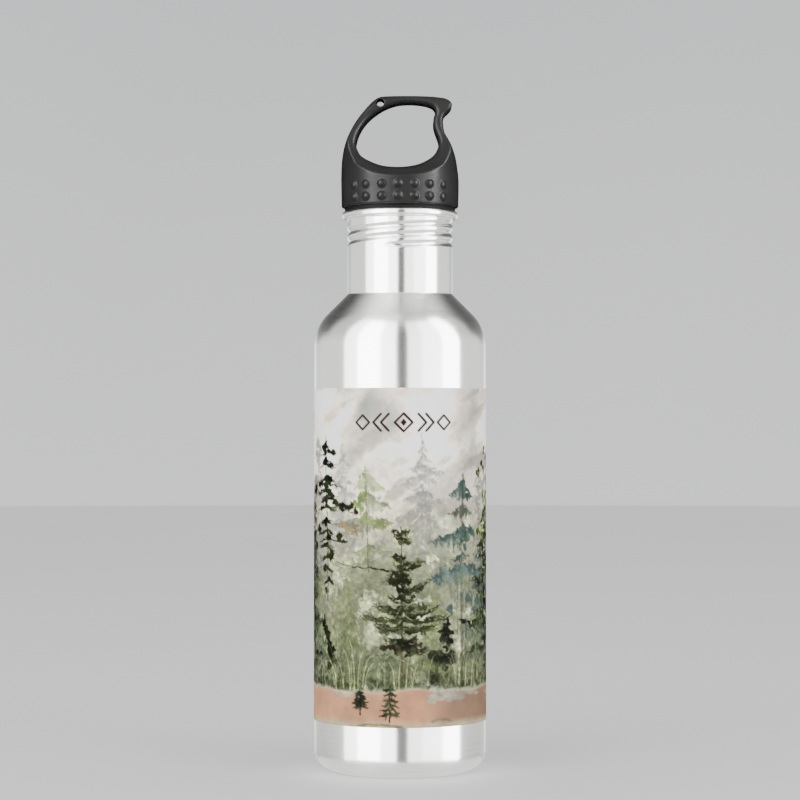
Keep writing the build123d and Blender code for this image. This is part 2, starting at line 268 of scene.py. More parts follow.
def make_cap_sdf():
    h2 = 0.16
    o = smooth_curve(OUTLINE, False)
    o = np.concatenate([o, [(26.4, 222.0), (-26.4, 222.0)]])
    outline = Field2D(o, (-28, 228), (28, 282), h2)
    hole = Field2D(smooth_curve(HOLE, True), (-28, 228), (28, 282), h2)
    s = smooth_curve(SIDE, False)
    s = np.concatenate([s, s[::-1] * [-1, 1], [(-29, 222.0), (29, 222.0)]])
    side = Field2D(s, (-28, 228), (28, 282), h2)
    angles = np.radians([-50.6, -34.8, -18.1, -1.9, 14.1, 29.7, 46.3])
    hb, ab = 0.72, 1.72
    ball = (ab * ab + hb * hb) / (2 * hb)
    centres = []
    for off in (0, math.pi):
        for a in angles:
            for z in (240.1, 235.2):
                r = SKIRT_R + hb - ball
                centres.append((r * math.sin(a + off), -r * math.cos(a + off), z))

    def sdf(x, y, z):
        rad = np.sqrt(x * x + y * y)
        # the skirt narrows a little towards its lower edge
        cyl = rad - (SKIRT_R - 0.012 * np.clip(244 - z, 0, 12) ** 1.2)
        f = smax(cyl, side(y, z), 0.7)
        f = smax(f, outline(x, z), 1.7)
        f = smax(f, SKIRT_LOW - z, 0.7)
        f = smax(f, -hole(x, z), 2.1)
        lan = np.sqrt((x + 8.1) ** 2 + (z - 275.0) ** 2) - 1.6
        f = smax(f, -lan, 0.35)
        for c in centres:
            d = np.sqrt((x - c[0]) ** 2 + (y - c[1]) ** 2 + (z - c[2]) ** 2) - ball
            near = d < 1.2
            if near.any():
                f = np.where(near & (rad > 23.3), smin(f, np.where(near, d, 5.0), 0.22), f)
        pocket = np.maximum(rad - 22.95, z - 235.6)
        f = smax(f, -pocket, 0.2)
        core = np.maximum(rad - (17.0 - (z - 235.1) * 0.25), z - 243.2)
        f = smax(f, -core, 0.5)
        return f
    return sdf


def surface_nets(f, lo, h):
    s = f < 0
    nx, ny, nz = f.shape
    corners = [(i, j, k) for i in (0, 1) for j in (0, 1) for k in (0, 1)]

    def sub(a, c):
        return a[c[0]:nx - 1 + c[0], c[1]:ny - 1 + c[1], c[2]:nz - 1 + c[2]]
    cnt = sum(sub(s, c).astype(np.int8) for c in corners)
    act = (cnt > 0) & (cnt < 8)
    I, J, K = np.nonzero(act)
    idx = np.full(act.shape, -1, np.int64)
    idx[I, J, K] = np.arange(len(I))
    P = np.zeros((len(I), 3))
    W = np.zeros(len(I))
    for a in corners:
        for ax in range(3):
            if a[ax] == 1:
                continue
            b = list(a)
            b[ax] = 1
            fa = f[I + a[0], J + a[1], K + a[2]]
            fb = f[I + b[0], J + b[1], K + b[2]]
            m = (fa < 0) != (fb < 0)
            t = np.where(m, fa / np.where(m, fa - fb, 1), 0)
            q = np.repeat(np.array(a, float)[None], len(I), 0)
            q[:, ax] += t
            P += q * m[:, None]
            W += m
    P = P / W[:, None]
    V = np.array(lo) + h * (np.stack([I, J, K], 1) + P)
    quads = []
    for ax in range(3):
        o1, o2 = [(1, 2), (2, 0), (0, 1)][ax]
        sl_a = [slice(1, -1)] * 3
        sl_a[ax] = slice(0, -1)
        sl_b = [slice(1, -1)] * 3
        sl_b[ax] = slice(1, None)
        A, B = s[tuple(sl_a)], s[tuple(sl_b)]
        ch = A != B
        G = np.stack(np.nonzero(ch), 1)
        G[:, o1] += 1
        G[:, o2] += 1
        flip = B[ch]

        def cell(d1, d2):
            c = G.copy()
            c[:, o1] -= d1
            c[:, o2] -= d2
            return idx[c[:, 0], c[:, 1], c[:, 2]]
        q = np.stack([cell(1, 1), cell(0, 1), cell(0, 0), cell(1, 0)], 1)
        q[flip] = q[flip][:, ::-1]
        quads.append(q)
    Q = np.concatenate(quads)
    return V, Q


def cap_mesh():
    sdf = make_cap_sdf()
    h = 0.42
    lo = np.array([-26.0, -26.6, 231.0])
    n = np.ceil((np.array([26.0, 26.6, 279.2]) - lo) / h).astype(int) + 1
    f = np.empty(n)
    ys = lo[1] + h * np.arange(n[1])
    zs = lo[2] + h * np.arange(n[2])
    Y, Z = np.meshgrid(ys, zs, indexing="ij")
    for i in range(n[0]):
        f[i] = sdf(np.full_like(Y, lo[0] + h * i), Y, Z)
    V, Q = surface_nets(f, lo, h)
    e = 0.04
    for _ in range(3):
        x, y, z = V.T
        v = sdf(x, y, z)
        g = np.stack([sdf(x + e, y, z) - sdf(x - e, y, z), sdf(x, y + e, z) - sdf(x, y - e, z),
                      sdf(x, y, z + e) - sdf(x, y, z - e)], 1) / (2 * e)
        n2 = (g * g).sum(1)
        step = np.clip(v / np.maximum(n2, 0.2), -0.25, 0.25)
        V = V - g * step[:, None]
    ob = new_mesh("cap_skin", V, Q)
    # shading normals from the shape itself, so that the moulded edges stay even
    e = 0.22
    x, y, z = V.T
    g = np.stack([sdf(x + e, y, z) - sdf(x - e, y, z), sdf(x, y + e, z) - sdf(x, y - e, z),
                  sdf(x, y, z + e) - sdf(x, y, z - e)], 1)
    g /= np.maximum(np.linalg.norm(g, axis=1), 1e-9)[:, None]
    ob.data.normals_split_custom_set_from_vertices(g.tolist())
    return ob


# -------------------------------------------------------------- painted print
# scene brightness against shown brightness for the default film response
CURVE_SCENE = [0.001, 0.003, 0.006, 0.01, 0.02, 0.03, 0.05, 0.08, 0.12, 0.18, 0.25, 0.35, 0.5, 0.7, 1.0, 1.4, 2.0, 3.0, 4.0, 6.0,
               8.0, 12.0, 16.0]
CURVE_SHOWN = [0.8, 4.5, 11.1, 18.5, 31.9, 42.0, 57.9, 76.5, 95.7, 117.6, 135.7, 153.0, 169.6, 183.6, 196.6, 207.3, 217.2, 226.9,
               233.0, 240.5, 245.2, 251.1, 254.6]
MIX_IN = np.array([[0.72102453, 0.21763266, 0.06134281], [0.08867593, 0.81221239, 0.09911167],
                   [0.06003174, 0.13306205, 0.80690621]])
MIX_OUT = np.array([[1.3756542, -0.26877417, -0.10688003], [-0.11490747, 1.12101228, -0.00610481],
                    [-0.09170088, -0.15885585, 1.25055672]])
PRINT_LIGHT = 2.45                    # brightness of a white diffuse face in this set


def pigment(shown):
    """Reflectance that is shown as the wanted colour under this set's light."""
    v = np.clip(shown @ np.linalg.inv(MIX_OUT).T, 0.004, 0.97)
    x = 2.0 ** np.interp(v * 255, CURVE_SHOWN, np.log2(CURVE_SCENE))
    x = x @ np.linalg.inv(MIX_IN).T
    return np.clip(x / PRINT_LIGHT, 0.004, 0.92)


PX = 0.15          # canvas step, mm
CIRC = 2 * math.pi * WRAP_R
CW = int(round(CIRC / PX))
CH = int(round((WRAP_TOP - WRAP_LOW) / PX))


def value_noise(cell_x, cell_y, seed, octaves=4, gain=0.5):
    """Noise over the canvas, periodic round the bottle; cells in mm."""
    out = np.zeros((CH, CW))
    amp, tot = 1.0, 0.0
    r = np.random.default_rng(seed)
    for o in range(octaves):
        nx = max(2, int(round(CIRC / cell_x)))
        ny = max(2, int(math.ceil((WRAP_TOP - WRAP_LOW) / cell_y)) + 2)
        g = r.random((ny, nx))
        u = np.arange(CW) * nx / CW
        v = np.arange(CH) * (ny - 2) / CH
        i, j = u.astype(int), v.astype(int)
        fu, fv = u - i, v - j
        fu, fv = fu * fu * (3 - 2 * fu), fv * fv * (3 - 2 * fv)
        i2 = (i + 1) % nx
        a = g[j][:, i % nx] * (1 - fu) + g[j][:, i2] * fu
        b = g[j + 1][:, i % nx] * (1 - fu) + g[j + 1][:, i2] * fu
        out += amp * (a * (1 - fv)[:, None] + b * fv[:, None])
        tot += amp
        amp *= gain
        cell_x, cell_y = cell_x / 2, cell_y / 2
        if cell_x < PX * 1.5 or cell_y < PX * 1.5:
            break
    return out / tot


def at(x, y):
    """Place on the sleeve (arc length, height) for a point of the front view,
    counted in steps of 0.414 mm from the view's upper left corner."""
    s = np.clip((x - 400.4) / 86.0, -0.999, 0.999)
    a = math.asin(s)
    depth = 1035 - WRAP_R * math.cos(a)
    return a * WRAP_R, (425 - y) * depth / 2500 + 142.06


class Mask:
    """A brush layer on part of the sleeve, wrapped round the bottle."""

    def __init__(self, s0, s1, z0, z1):
        self.s0, self.z1 = s0, z1
        self.w = int((s1 - s0) / PX) + 2
        self.h = int((z1 - z0) / PX) + 2
        self.m = np.zeros((self.h, self.w), np.float32)

    def blob(self, s, z, rx, ry, ang=0.0, a=1.0, hard=2.2):
        cx, cy = (s - self.s0) / PX, (self.z1 - z) / PX
        rx, ry = max(rx / PX, 0.7), max(ry / PX, 0.7)
        R = max(rx, ry) + 1
        x0, x1 = int(max(0, cx - R)), int(min(self.w, cx + R + 1))
        y0, y1 = int(max(0, cy - R)), int(min(self.h, cy + R + 1))
        if x1 <= x0 or y1 <= y0:
            return
        X = np.arange(x0, x1)[None] - cx
        Y = cy - np.arange(y0, y1)[:, None]
        c, sn = math.cos(ang), math.sin(ang)
        u, v = (X * c + Y * sn) / rx, (-X * sn + Y * c) / ry
        d = 1 - (u * u + v * v)
        v = np.clip(d * hard, 0, 1) * a
        w = self.m[y0:y1, x0:x1]
        np.maximum(w, v, out=w)

    def stroke(self, pts, w0, w1, a=1.0, hard=2.0):
        pts = np.array(pts, float)
        d = np.sqrt((np.diff(pts, axis=0) ** 2).sum(1))
        L = np.concatenate([[0], np.cumsum(d)])
        n = max(2, int(L[-1] / max(min(w0, w1, 1.0) * 0.28, PX * 0.6)))
        for t in np.linspace(0, 1, n):
            s = np.interp(t * L[-1], L, pts[:, 0])
            z = np.interp(t * L[-1], L, pts[:, 1])
            w = w0 + (w1 - w0) * t
            self.blob(s, z, w / 2, w / 2, 0, a, hard)


WARP = []                             # filled by paint(): two wobble fields and a break-up field


def put(canvas, mask, colour, alpha=1.0, colour2=None, mix=None, grain=None, edge=0.0, warp=2.0, holes=0.0):
    """Lay a mask on the canvas as a transparent wash with a wobbly, broken edge."""
    h, w = mask.m.shape
    row0 = int(round((WRAP_TOP - mask.z1) / PX))
    col0 = int(round((mask.s0 + CIRC / 2) / PX))
    r0, r1 = max(0, row0), min(CH, row0 + h)
    if r1 <= r0:
        return
    cols = (col0 + np.arange(w)) % CW
    m = mask.m[r0 - row0:r1 - row0]
    if warp:
        yi = np.clip(np.arange(r1 - r0)[:, None] + WARP[1][r0:r1][:, cols] * (warp / PX), 0, r1 - r0 - 1).astype(int)
        xi = np.clip(np.arange(w)[None] + WARP[0][r0:r1][:, cols] * (warp / PX), 0, w - 1).astype(int)
        m = m[yi, xi]
    if holes:
        m = m * np.clip((WARP[2][r0:r1][:, cols] - holes + 0.03) / 0.13 + 0.5, 0, 1)
    if grain is not None:
        g = grain[r0:r1][:, cols]
        m = m * np.clip(0.35 + 1.3 * g, 0, 1.15)
    m = np.clip(m * alpha, 0, 1)[..., None]
    c = np.array(colour, float)[None, None]
    if colour2 is not None:
        t = np.clip((mix[r0:r1][:, cols] - 0.36) * 3.6, 0, 1)[..., None]
        c = c * (1 - t) + np.array(colour2, float)[None, None] * t
    if edge:
        c = c * (1 - edge * (4 * m * (1 - m)))
    sub = canvas[r0:r1][:, cols]
    canvas[r0:r1, cols] = sub * (1 - m) + c * m


def mask_for(points, pad):
    """Empty mask that holds a list of front-view points with a margin in mm."""
    q = [at(min(max(x, 315.6), 485.2), y) for x, y in points]
    return Mask(min(v[0] for v in q) - pad, max(v[0] for v in q) + pad, min(v[1] for v in q) - pad, max(v[1] for v in q) + pad)


def tent(cv, noises, x, y_top, left, right, depth, c1, c2, alpha, seed, flare=0.62, holes=0.36, fade=0.5, line=0.0, line_c=(0.3, 0.33, 0.25)):
    """One layer of a painted fir: steep at the trunk, flaring to two tips, fading downwards."""
    s0, zt = at(x, y_top)
    sl, zl = at(max(left[0], 315.6), left[1])
    sr, zr = at(min(right[0], 485.2), right[1])
    d = depth * 0.414
    m = Mask(sl - 2, sr + 2, min(zl, zr) - d - 3, zt + 2)
    S = m.s0 + np.arange(m.w) * PX
    Z = m.z1 - np.arange(m.h)[:, None] * PX
    r = np.random.default_rng(seed)
    ph = r.random(3) * 6.3
    sc = 0.55 + 0.30 * np.sin(S * 2.1 + ph[0]) + 0.22 * np.sin(S * 3.7 + ph[1]) + 0.15 * np.sin(S * 6.1 + ph[2])
    for side, (s1, z1) in ((-1, (sl, zl)), (1, (sr, zr))):
        u = (S - s0) / (s1 - s0)
        ok = (u >= -0.02) & (u <= 1)
        u = np.clip(u, 0, 1)
        up = zt + (z1 - zt) * u ** flare + 0.25 * np.sin(S * 1.7 + ph[1])
        lo = z1 - d * (1 - u) ** 0.7 * sc - 0.3
        t = np.clip((up - Z) / np.maximum(up - lo, 0.3), 0, 1)
        a = np.clip((up - Z) / 0.3, 0, 1) * np.clip((Z - lo) / 0.7, 0, 1) * (1 - fade * t) * ok
        m.m = np.maximum(m.m, a.astype(np.float32))
    put(cv, m, c1, alpha, c2, noises[seed % 4], noises[4], 0.12, 2.0, holes - 0.03)
    if line:
        m = Mask(sl - 2, sr + 2, min(zl, zr) - d - 3, zt + 2)
        for side, (s1, z1) in ((-1, (sl, zl)), (1, (sr, zr))):
            pts = [(s0 + (s1 - s0) * u, zt + (z1 - zt) * u ** flare - 0.1) for u in np.linspace(0, 1, 12)]
            m.stroke(pts, line, line * 0.6, 0.9, 2.5)
        put(cv, m, line_c, 0.75, tuple(min(1, v * 1.5) for v in line_c), noises[1], None, 0, 2.0, 0.40)


def clumps(cv, noises, items, c1, c2, alpha, seed, holes=0.38, n=16):
    """Leafy tufts: (x, y, half width, half height) in front-view steps."""
    r = np.random.default_rng(seed)
    m = mask_for([(q[0] - q[2], q[1] - q[3]) for q in items] + [(q[0] + q[2], q[1] + q[3]) for q in items], 3)
    for (x, y, rx, ry) in items:
        s, z = at(min(max(x, 315.6), 485.2), y)
        for i in range(n):
            a = r.random() * 6.283
            k = r.random() ** 0.6
            m.blob(s + math.cos(a) * rx * 0.414 * k, z + math.sin(a) * ry * 0.414 * k, 0.25 + rx * 0.13 * (0.5 + r.random()),
                   0.22 + ry * 0.10 * (0.5 + r.random()), r.normal(0, 0.7), 1.0, 2.2)
    put(cv, m, c1, alpha, c2, noises[1], None, 0.0, 2.8, holes)


def twigs(cv, items, colour, alpha, colour2=None, mix=None, warp=2.0, holes=0.30):
    """Separate brush lines through front-view points: (points, start width, end width in steps)."""
    m = mask_for([pnt for q in items for pnt in q[0]], 3)
    for pts, w0, w1 in items:
        q = [at(min(max(x, 315.2), 485.6), y) for x, y in pts]
        m.stroke(q, w0 * 0.414, w1 * 0.414, 1.0, 2.2)
    put(cv, m, colour, alpha, colour2, mix, None, 0.0, warp, holes)


def brushed_tree(cv, noises, x, spec, c1, c2, seed, w0=3.2, pale=(0.80, 0.80, 0.68), wrap=False):
    """Layers of separate wavy brush strokes: (height, left reach, right reach, rise of the tips, strokes, spread)."""
    r = np.random.default_rng(seed)
    for layer, (colour, colour2, alpha, scale, share, shift, holes) in enumerate([
            (pale, pale, 0.55, 1.5, 0.6, 1.6, 0.36), (c2, tuple(min(1, v * 1.25) for v in c2), 0.85, 1.5, 0.7, 0.0, 0.34),
            (c1, tuple(min(1, v * 1.6) for v in c1), 0.95, 1.0, 1.0, -0.3, 0.33), (pale, c2, 0.6, 0.35, 0.35, 0.8, 0.40)]):
        items = []
        for (y, L, R, rise, n, spread) in spec:
            for i in range(max(1, int(n * share))):
                for side, w in ((-1, L), (1, R)):
                    if w < 1:
                        continue
                    reach = w * (0.42 + 0.58 * r.random() ** 0.7) if i else w
                    y0 = y + r.normal(0, spread)
                    start = side * reach * 0.12 * r.random()
                    sag = 1.2 + 2.0 * r.random()
                    k = reach / max(w, 1)
                    pts = [(x + start, y0 - 0.5 + shift), (x + side * reach * 0.33, y0 + sag + shift), (x + side * reach * 0.66, y0 + sag * 0.9 - rise * 0.35 * k + shift),
                           (x + side * reach * 0.88, y0 + sag * 0.3 - rise * 0.75 * k + shift + r.normal(0, 0.5)), (x + side * reach, y0 - rise * k + shift)]
                    th = w0 * scale * (0.6 + 0.6 * r.random()) * min(1.0, 0.45 + reach / 30)
                    items.append((pts, th, 0.7))
                    for q in range(int(reach / 7)):
                        u = 0.3 + 0.65 * r.random()
                        px, py = x + side * reach * u, y0 + sag * 0.6 - rise * u * u * k + shift
                        items.append(([(px - side * 2.5, py + 0.3), (px + side * (1.5 + 2 * r.random()), py + (1.6 if r.random() < 0.6 else -1.6))], th * 0.5, 0.5))
        twigs(cv, items, colour, alpha, colour2, noises[layer % len(noises)], 2.6, holes)


def bough(m, r, s0, z0, s1, z1, thick, arch=0.0, fringe=1.0, fill=1.0):
    """One drooping or upswept bough: a tapering ragged brush mark with needles under it."""
    L = math.hypot(s1 - s0, z1 - z0)
    n = max(4, int(L / 0.42))
    side = 1 if s1 >= s0 else -1
    wob = r.normal(0, 1, 4)
    for i in range(n + 1):
        u = i / n
        s = s0 + (s1 - s0) * u
        z = z0 + (z1 - z0) * u + arch * L * 4 * u * (1 - u) + 0.05 * L * wob[0] * math.sin(6.3 * u + wob[1])
        taper = (0.30 + 0.70 * math.sin(math.pi * min(1.0, 0.22 + 0.62 * u)) ** 0.9) * (1 - 0.72 * u ** 2.2)
        th = thick * taper * (0.70 + 0.55 * r.random())
        if r.random() > fill:
            continue
        dz = (z1 - z0) / max(L, 0.1) + arch * 4 * (1 - 2 * u)
        m.blob(s, z - th * 0.30, 0.50 + 0.28 * th, max(0.28, th * 0.50), math.atan(dz) * side if side > 0 else -math.atan(dz), 0.70 + 0.3 * r.random(), 2.6)
        if r.random() < 0.75 * fringe:
            q = th * (0.35 + 0.75 * r.random())
            m.blob(s + r.normal(0, 0.25), z - th * 0.45 - q * 0.55, 0.17 + 0.09 * th, q * 0.75, side * (0.25 + 0.35 * r.random()), 0.6 + 0.35 * r.random(), 2.2)
        if r.random() < 0.30 * fringe:
            m.blob(s + r.normal(0, 0.3), z + th * 0.22, 0.42, 0.16, side * 0.4 + r.normal(0, 0.4), 0.7, 2.2)


def conifer(canvas, s, ztop, zlow, width, c1, c2, alpha, seed, noises, tiers=9, droop=0.35, ragged=0.5, trunk=0.5,
            bare=0.08, fringe=1.0, gap=0.0, lift=0.0, dense=1.0, edge=0.10):
    """One watercolour conifer: uneven boughs on a thin trunk, with loose foliage near the trunk."""
    r = np.random.default_rng(seed)
    H = ztop - zlow
    m = Mask(s - width * 0.8 - 3, s + width * 0.8 + 3, zlow - 6, ztop + 4)
    m.stroke([(s, ztop + 0.2), (s + r.normal(0, 0.15), zlow + H * 0.5), (s + r.normal(0, 0.3), zlow)], 0.3, trunk, 0.9, 2.5)
    step = H * (1 - bare) / tiers
    for i in range(tiers):
        for side in (-1, 1):
            if r.random() < gap:
                continue
            t = (i + 0.45 + r.normal(0, 0.22 + 0.15 * ragged)) / tiers
            t = min(max(t, 0.03), 1.0)
            z = ztop - H * (1 - bare) * t
            w = max(0.9, width * 0.5 * (0.10 + 0.90 * t ** 0.9) * (1 + r.normal(0, 0.12 + 0.20 * ragged)))
            thick = max(0.6, step * (0.62 + 0.3 * r.random()) * dense)
            d = droop * (0.7 + 0.6 * r.random())
            bough(m, r, s, z + 0.1, s + side * w, z - d * w + lift * w, thick, arch=0.10 * d + r.normal(0, 0.02) - 0.25 * lift, fringe=fringe)
            for q in range(int(w / 1.6 * dense)):
                u = r.random() ** 1.4
                m.blob(s + side * w * u * 0.8, z - d * w * u - thick * (0.3 + 0.5 * r.random()), 0.5 + 0.5 * r.random(), 0.3 + 0.4 * r.random(), r.random() * 3, 0.55, 2)
    put(canvas, m, c1, alpha, c2, noises[seed % 4], noises[(seed + 1) % 4], edge, 3.2, 0.38)


def paint():
    n1 = value_noise(40, 60, 1, 4)
    n2 = value_noise(10, 10, 2, 5)
    n3 = value_noise(3.2, 3.2, 3, 4)
    n4 = value_noise(5.5, 4.0, 4, 5)
    n5 = value_noise(2.0, 7.0, 5, 4)
    noises = [n2, n3, n4, n5, value_noise(0.9, 5.0, 6, 4)]
    WARP.extend([value_noise(1.8, 1.8, 901, 3) - 0.5, value_noise(1.8, 1.8, 902, 3) - 0.5, value_noise(1.1, 1.0, 903, 3)])
    S = (np.arange(CW) + 0.5) * PX - CIRC / 2
    Z = WRAP_TOP - (np.arange(CH) + 0.5) * PX
    SS, ZZ = np.meshgrid(S, Z)
    cv = np.empty((CH, CW, 3))
    # pale wash of sky
    cv[:] = np.array([0.830, 0.818, 0.802])
    cv += ((n1 - 0.5) * 0.12)[..., None]
    cv += ((n2 - 0.5) * 0.07)[..., None] * np.array([1.0, 1.0, 1.05])
    # diagonal streaks of darker and lighter wash
    sh = np.array([(np.roll(n2[i], int((CH - i) * 0.95))) for i in range(CH)])
    sh2 = np.array([(np.roll(n1[i], int((CH - i) * 1.05))) for i in range(CH)])
    cv -= np.clip((sh - 0.52) * 0.6, 0, 0.08)[..., None] * np.array([1.0, 1.0, 1.04])
    cv += np.clip((sh2 - 0.53) * 0.9, 0, 0.08)[..., None] * np.array([1.0, 0.985, 0.975])

    def wash(spots, grain, cut=0.35, gain=1.3):
        nonlocal cv
        for (s0, z0, rs, rz, tilt, c, a) in spots:
            ds = (SS - s0 + CIRC / 2) % CIRC - CIRC / 2
            dz = ZZ - z0
            k0, k1 = math.cos(tilt), math.sin(tilt)
            u, v = (ds * k0 + dz * k1) / rs, (-ds * k1 + dz * k0) / rz
            k = np.exp(-(u * u + v * v) * 1.4) * a * np.clip(cut + gain * grain, 0, 1.2)
            cv = cv * (1 - k[..., None]) + np.array(c) * k[..., None]
    WARM, PINK, GR, GG = (0.985, 0.95, 0.935), (0.925, 0.875, 0.875), (0.745, 0.745, 0.735), (0.70, 0.715, 0.69)
    wash([(-44, 151, 14, 8, 0.0, (1.0, 0.985, 0.975), 1.0), (-36, 151, 12, 7, 0.0, WARM, 0.85), (-27, 143, 16, 4, 0.75, WARM, 0.75), (-38, 140, 6, 8, 0, (0.93, 0.925, 0.90), 0.7),
          (17, 149, 14, 9, 0.1, (0.965, 0.915, 0.915), 1.0), (2, 150, 8, 8, 0, (0.93, 0.90, 0.90), 0.5), (9, 148, 7, 9, 0, (0.90, 0.885, 0.885), 0.6),
          (-13, 150, 4.5, 8, -0.4, GG, 0.75), (-8, 147, 9, 8, 0, (0.78, 0.775, 0.77), 0.7), (-3, 146, 5, 5, 0, GR, 0.4),
          (30, 145, 7, 16, -0.2, (0.785, 0.775, 0.755), 0.75), (35, 138, 4, 14, 0, (0.75, 0.745, 0.72), 0.6),
          (-20, 132, 16, 5, 0.7, (0.79, 0.78, 0.765), 0.7), (-14, 122, 18, 8, 0.3, (0.80, 0.79, 0.775), 0.5),
          (14, 122, 14, 9, 0.5, (0.845, 0.835, 0.825), 0.6), (24, 112, 7, 10, 0.4, (0.80, 0.785, 0.775), 0.7),
          (22, 98, 6, 8, 0.3, (0.90, 0.90, 0.89), 0.8), (-32, 112, 6, 6, 0, (0.92, 0.915, 0.90), 0.7),
          (-33, 97, 4, 6, 0, (0.90, 0.905, 0.895), 0.9), (0, 108, 6, 6, 0, (0.88, 0.87, 0.855), 0.5),
          (60, 150, 16, 12, 0.3, PINK, 0.6), (-70, 148, 18, 10, 0.4, GR, 0.5), (95, 146, 14, 12, 0.2, GR, 0.5),
          (-105, 150, 12, 10, 0.2, WARM, 0.6), (75, 128, 14, 7, 0.6, GR, 0.5), (-85, 126, 14, 8, 0.6, (0.88, 0.87, 0.855), 0.5)], n2)
    # greenish mist that thickens towards the ground
    t = np.clip((116 - ZZ) / 44, 0, 1) ** 0.8 * (0.55 + 0.9 * n4)
    t = np.clip(t, 0, 1) * 0.80
    cv = cv * (1 - t[..., None]) + np.array([0.690, 0.690, 0.600]) * t[..., None]
    t = np.clip((98 - ZZ) / 26, 0, 1) * np.clip((n2 - 0.38) * 4, 0, 1) * 0.62
    cv = cv * (1 - t[..., None]) + np.array([0.560, 0.575, 0.455]) * t[..., None]
    t = np.clip((92 - ZZ) / 26, 0, 1) * np.clip((n5 - 0.46) * 5, 0, 1) * 0.5
    cv = cv * (1 - t[..., None]) + np.array([0.470, 0.495, 0.36]) * t[..., None]

    r = np.random.default_rng(88)
    GREY, LILAC = (0.665, 0.655, 0.645), (0.745, 0.73, 0.72)

    def far(s, zt, zl, w, seed, c1=GREY, c2=LILAC, a=0.55, **k):
        conifer(cv, s, zt, zl, w, c1, c2, a, seed, noises, droop=0.38, ragged=0.9, bare=0.02, trunk=0.6, dense=1.25, edge=0.12, **k)

    # far, pale trees
    for i, s in enumerate(np.linspace(42, CIRC - 42, 16)):
        zt = 128 + r.normal(0, 9)
        far(s + r.normal(0, 3), zt, zt - 62, 26 + r.normal(0, 4), 200 + i, tiers=9)
    FG, FG2 = (0.69, 0.685, 0.67), (0.775, 0.765, 0.75)
    twigs(cv, [([(422, 432), (422, 560)], 1.2, 2.0)], FG, 0.7, holes=0.36)
    for k, (yt, lx, ly, rx, ry, dp, al) in enumerate([(438, 417, 452, 427, 451, 4, 0.55), (452, 414, 466, 432, 463, 5, 0.5), (462, 407, 469, 448, 473, 6, 0.6), (470, 394, 486, 440, 482, 7, 0.5),
                                                      (482, 409, 490, 434, 497, 8, 0.5), (488, 400, 500, 447, 503, 8, 0.5), (500, 394, 520, 446, 512, 12, 0.5), (512, 398, 534, 448, 530, 14, 0.42),
                                                      (528, 394, 552, 446, 548, 16, 0.35), (545, 392, 570, 450, 566, 18, 0.3)]):
        tent(cv, noises, 422, yt, (lx, ly), (rx, ry), dp, FG, FG2, al, 500 + k, 0.8, 0.38, 0.55, 0.5 if k % 2 else 0.0, (0.60, 0.595, 0.58))
    for k, (yt, lx, ly, rx, ry, dp) in enumerate([(440, 340, 452, 348, 456, 4), (452, 338, 464, 351, 466, 5), (463, 335, 477, 352, 476, 6), (474, 336, 488, 356, 484, 7), (484, 332, 500, 362, 497, 9),
                                                  (497, 330, 512, 360, 512, 10), (512, 326, 530, 366, 528, 12), (528, 326, 548, 366, 546, 14)]):
        tent(cv, noises, 344, yt, (lx, ly), (rx, ry), dp, FG, FG2, 0.45, 520 + k, 0.8, 0.40, 0.5)
    for k, (x, yt, w, n) in enumerate([(385, 520, 22, 6), (440, 535, 20, 5), (477, 470, 14, 9), (412, 560, 24, 4)]):
        for q in range(n):
            tent(cv, noises, x, yt + q * 15, (x - w * (0.45 + 0.09 * q), yt + q * 15 + 15), (x + w * (0.45 + 0.09 * q), yt + q * 15 + 13), 12, (0.66, 0.665, 0.61), (0.75, 0.75, 0.69), 0.42,
                 540 + 10 * k + q, 0.8, 0.40, 0.5)

    # middle distance, round the back: olive, yellow green and teal
    O1, O2 = (0.535, 0.585, 0.36), (0.665, 0.68, 0.51)
    T1, T2 = (0.285, 0.375, 0.355), (0.46, 0.54, 0.51)
    for i, s in enumerate(np.linspace(46, CIRC - 46, 17)):
        k = r.random()
        zt = 114 + r.normal(0, 10)
        c = (O1, O2) if k < 0.45 else (T1, T2) if k < 0.75 else ((0.45, 0.50, 0.38), (0.60, 0.63, 0.50))
        conifer(cv, s + r.normal(0, 2.5), zt, zt - 46 - 14 * r.random(), 22 + 9 * r.random(), c[0], c[1], 0.80, 300 + i, noises,
                tiers=7, droop=0.5, ragged=0.5, bare=0.04, trunk=0.5, dense=0.9, edge=0.15)

    # yellow green undercoat of the lower woods
    for k, (x, yt, w, n, c, c2) in enumerate([(345, 572, 24, 5, (0.60, 0.62, 0.44), (0.73, 0.73, 0.60)), (433, 585, 24, 6, (0.58, 0.62, 0.40), (0.70, 0.72, 0.55)),
                                              (352, 606, 22, 5, (0.50, 0.54, 0.35), (0.63, 0.65, 0.47)), (377, 566, 30, 3, (0.60, 0.62, 0.47), (0.70, 0.70, 0.57)),
                                              (321, 566, 16, 6, (0.62, 0.64, 0.46), (0.74, 0.75, 0.60)), (472, 610, 22, 4, (0.56, 0.59, 0.47), (0.70, 0.71, 0.62))]):
        for q in range(n):
            tent(cv, noises, x, yt + q * 14, (x - w * (0.5 + 0.1 * q), yt + q * 14 + 16), (x + w * (0.5 + 0.1 * q), yt + q * 14 + 14), 13, c, c2, 0.62, 600 + 10 * k + q, 0.75, 0.37, 0.4)

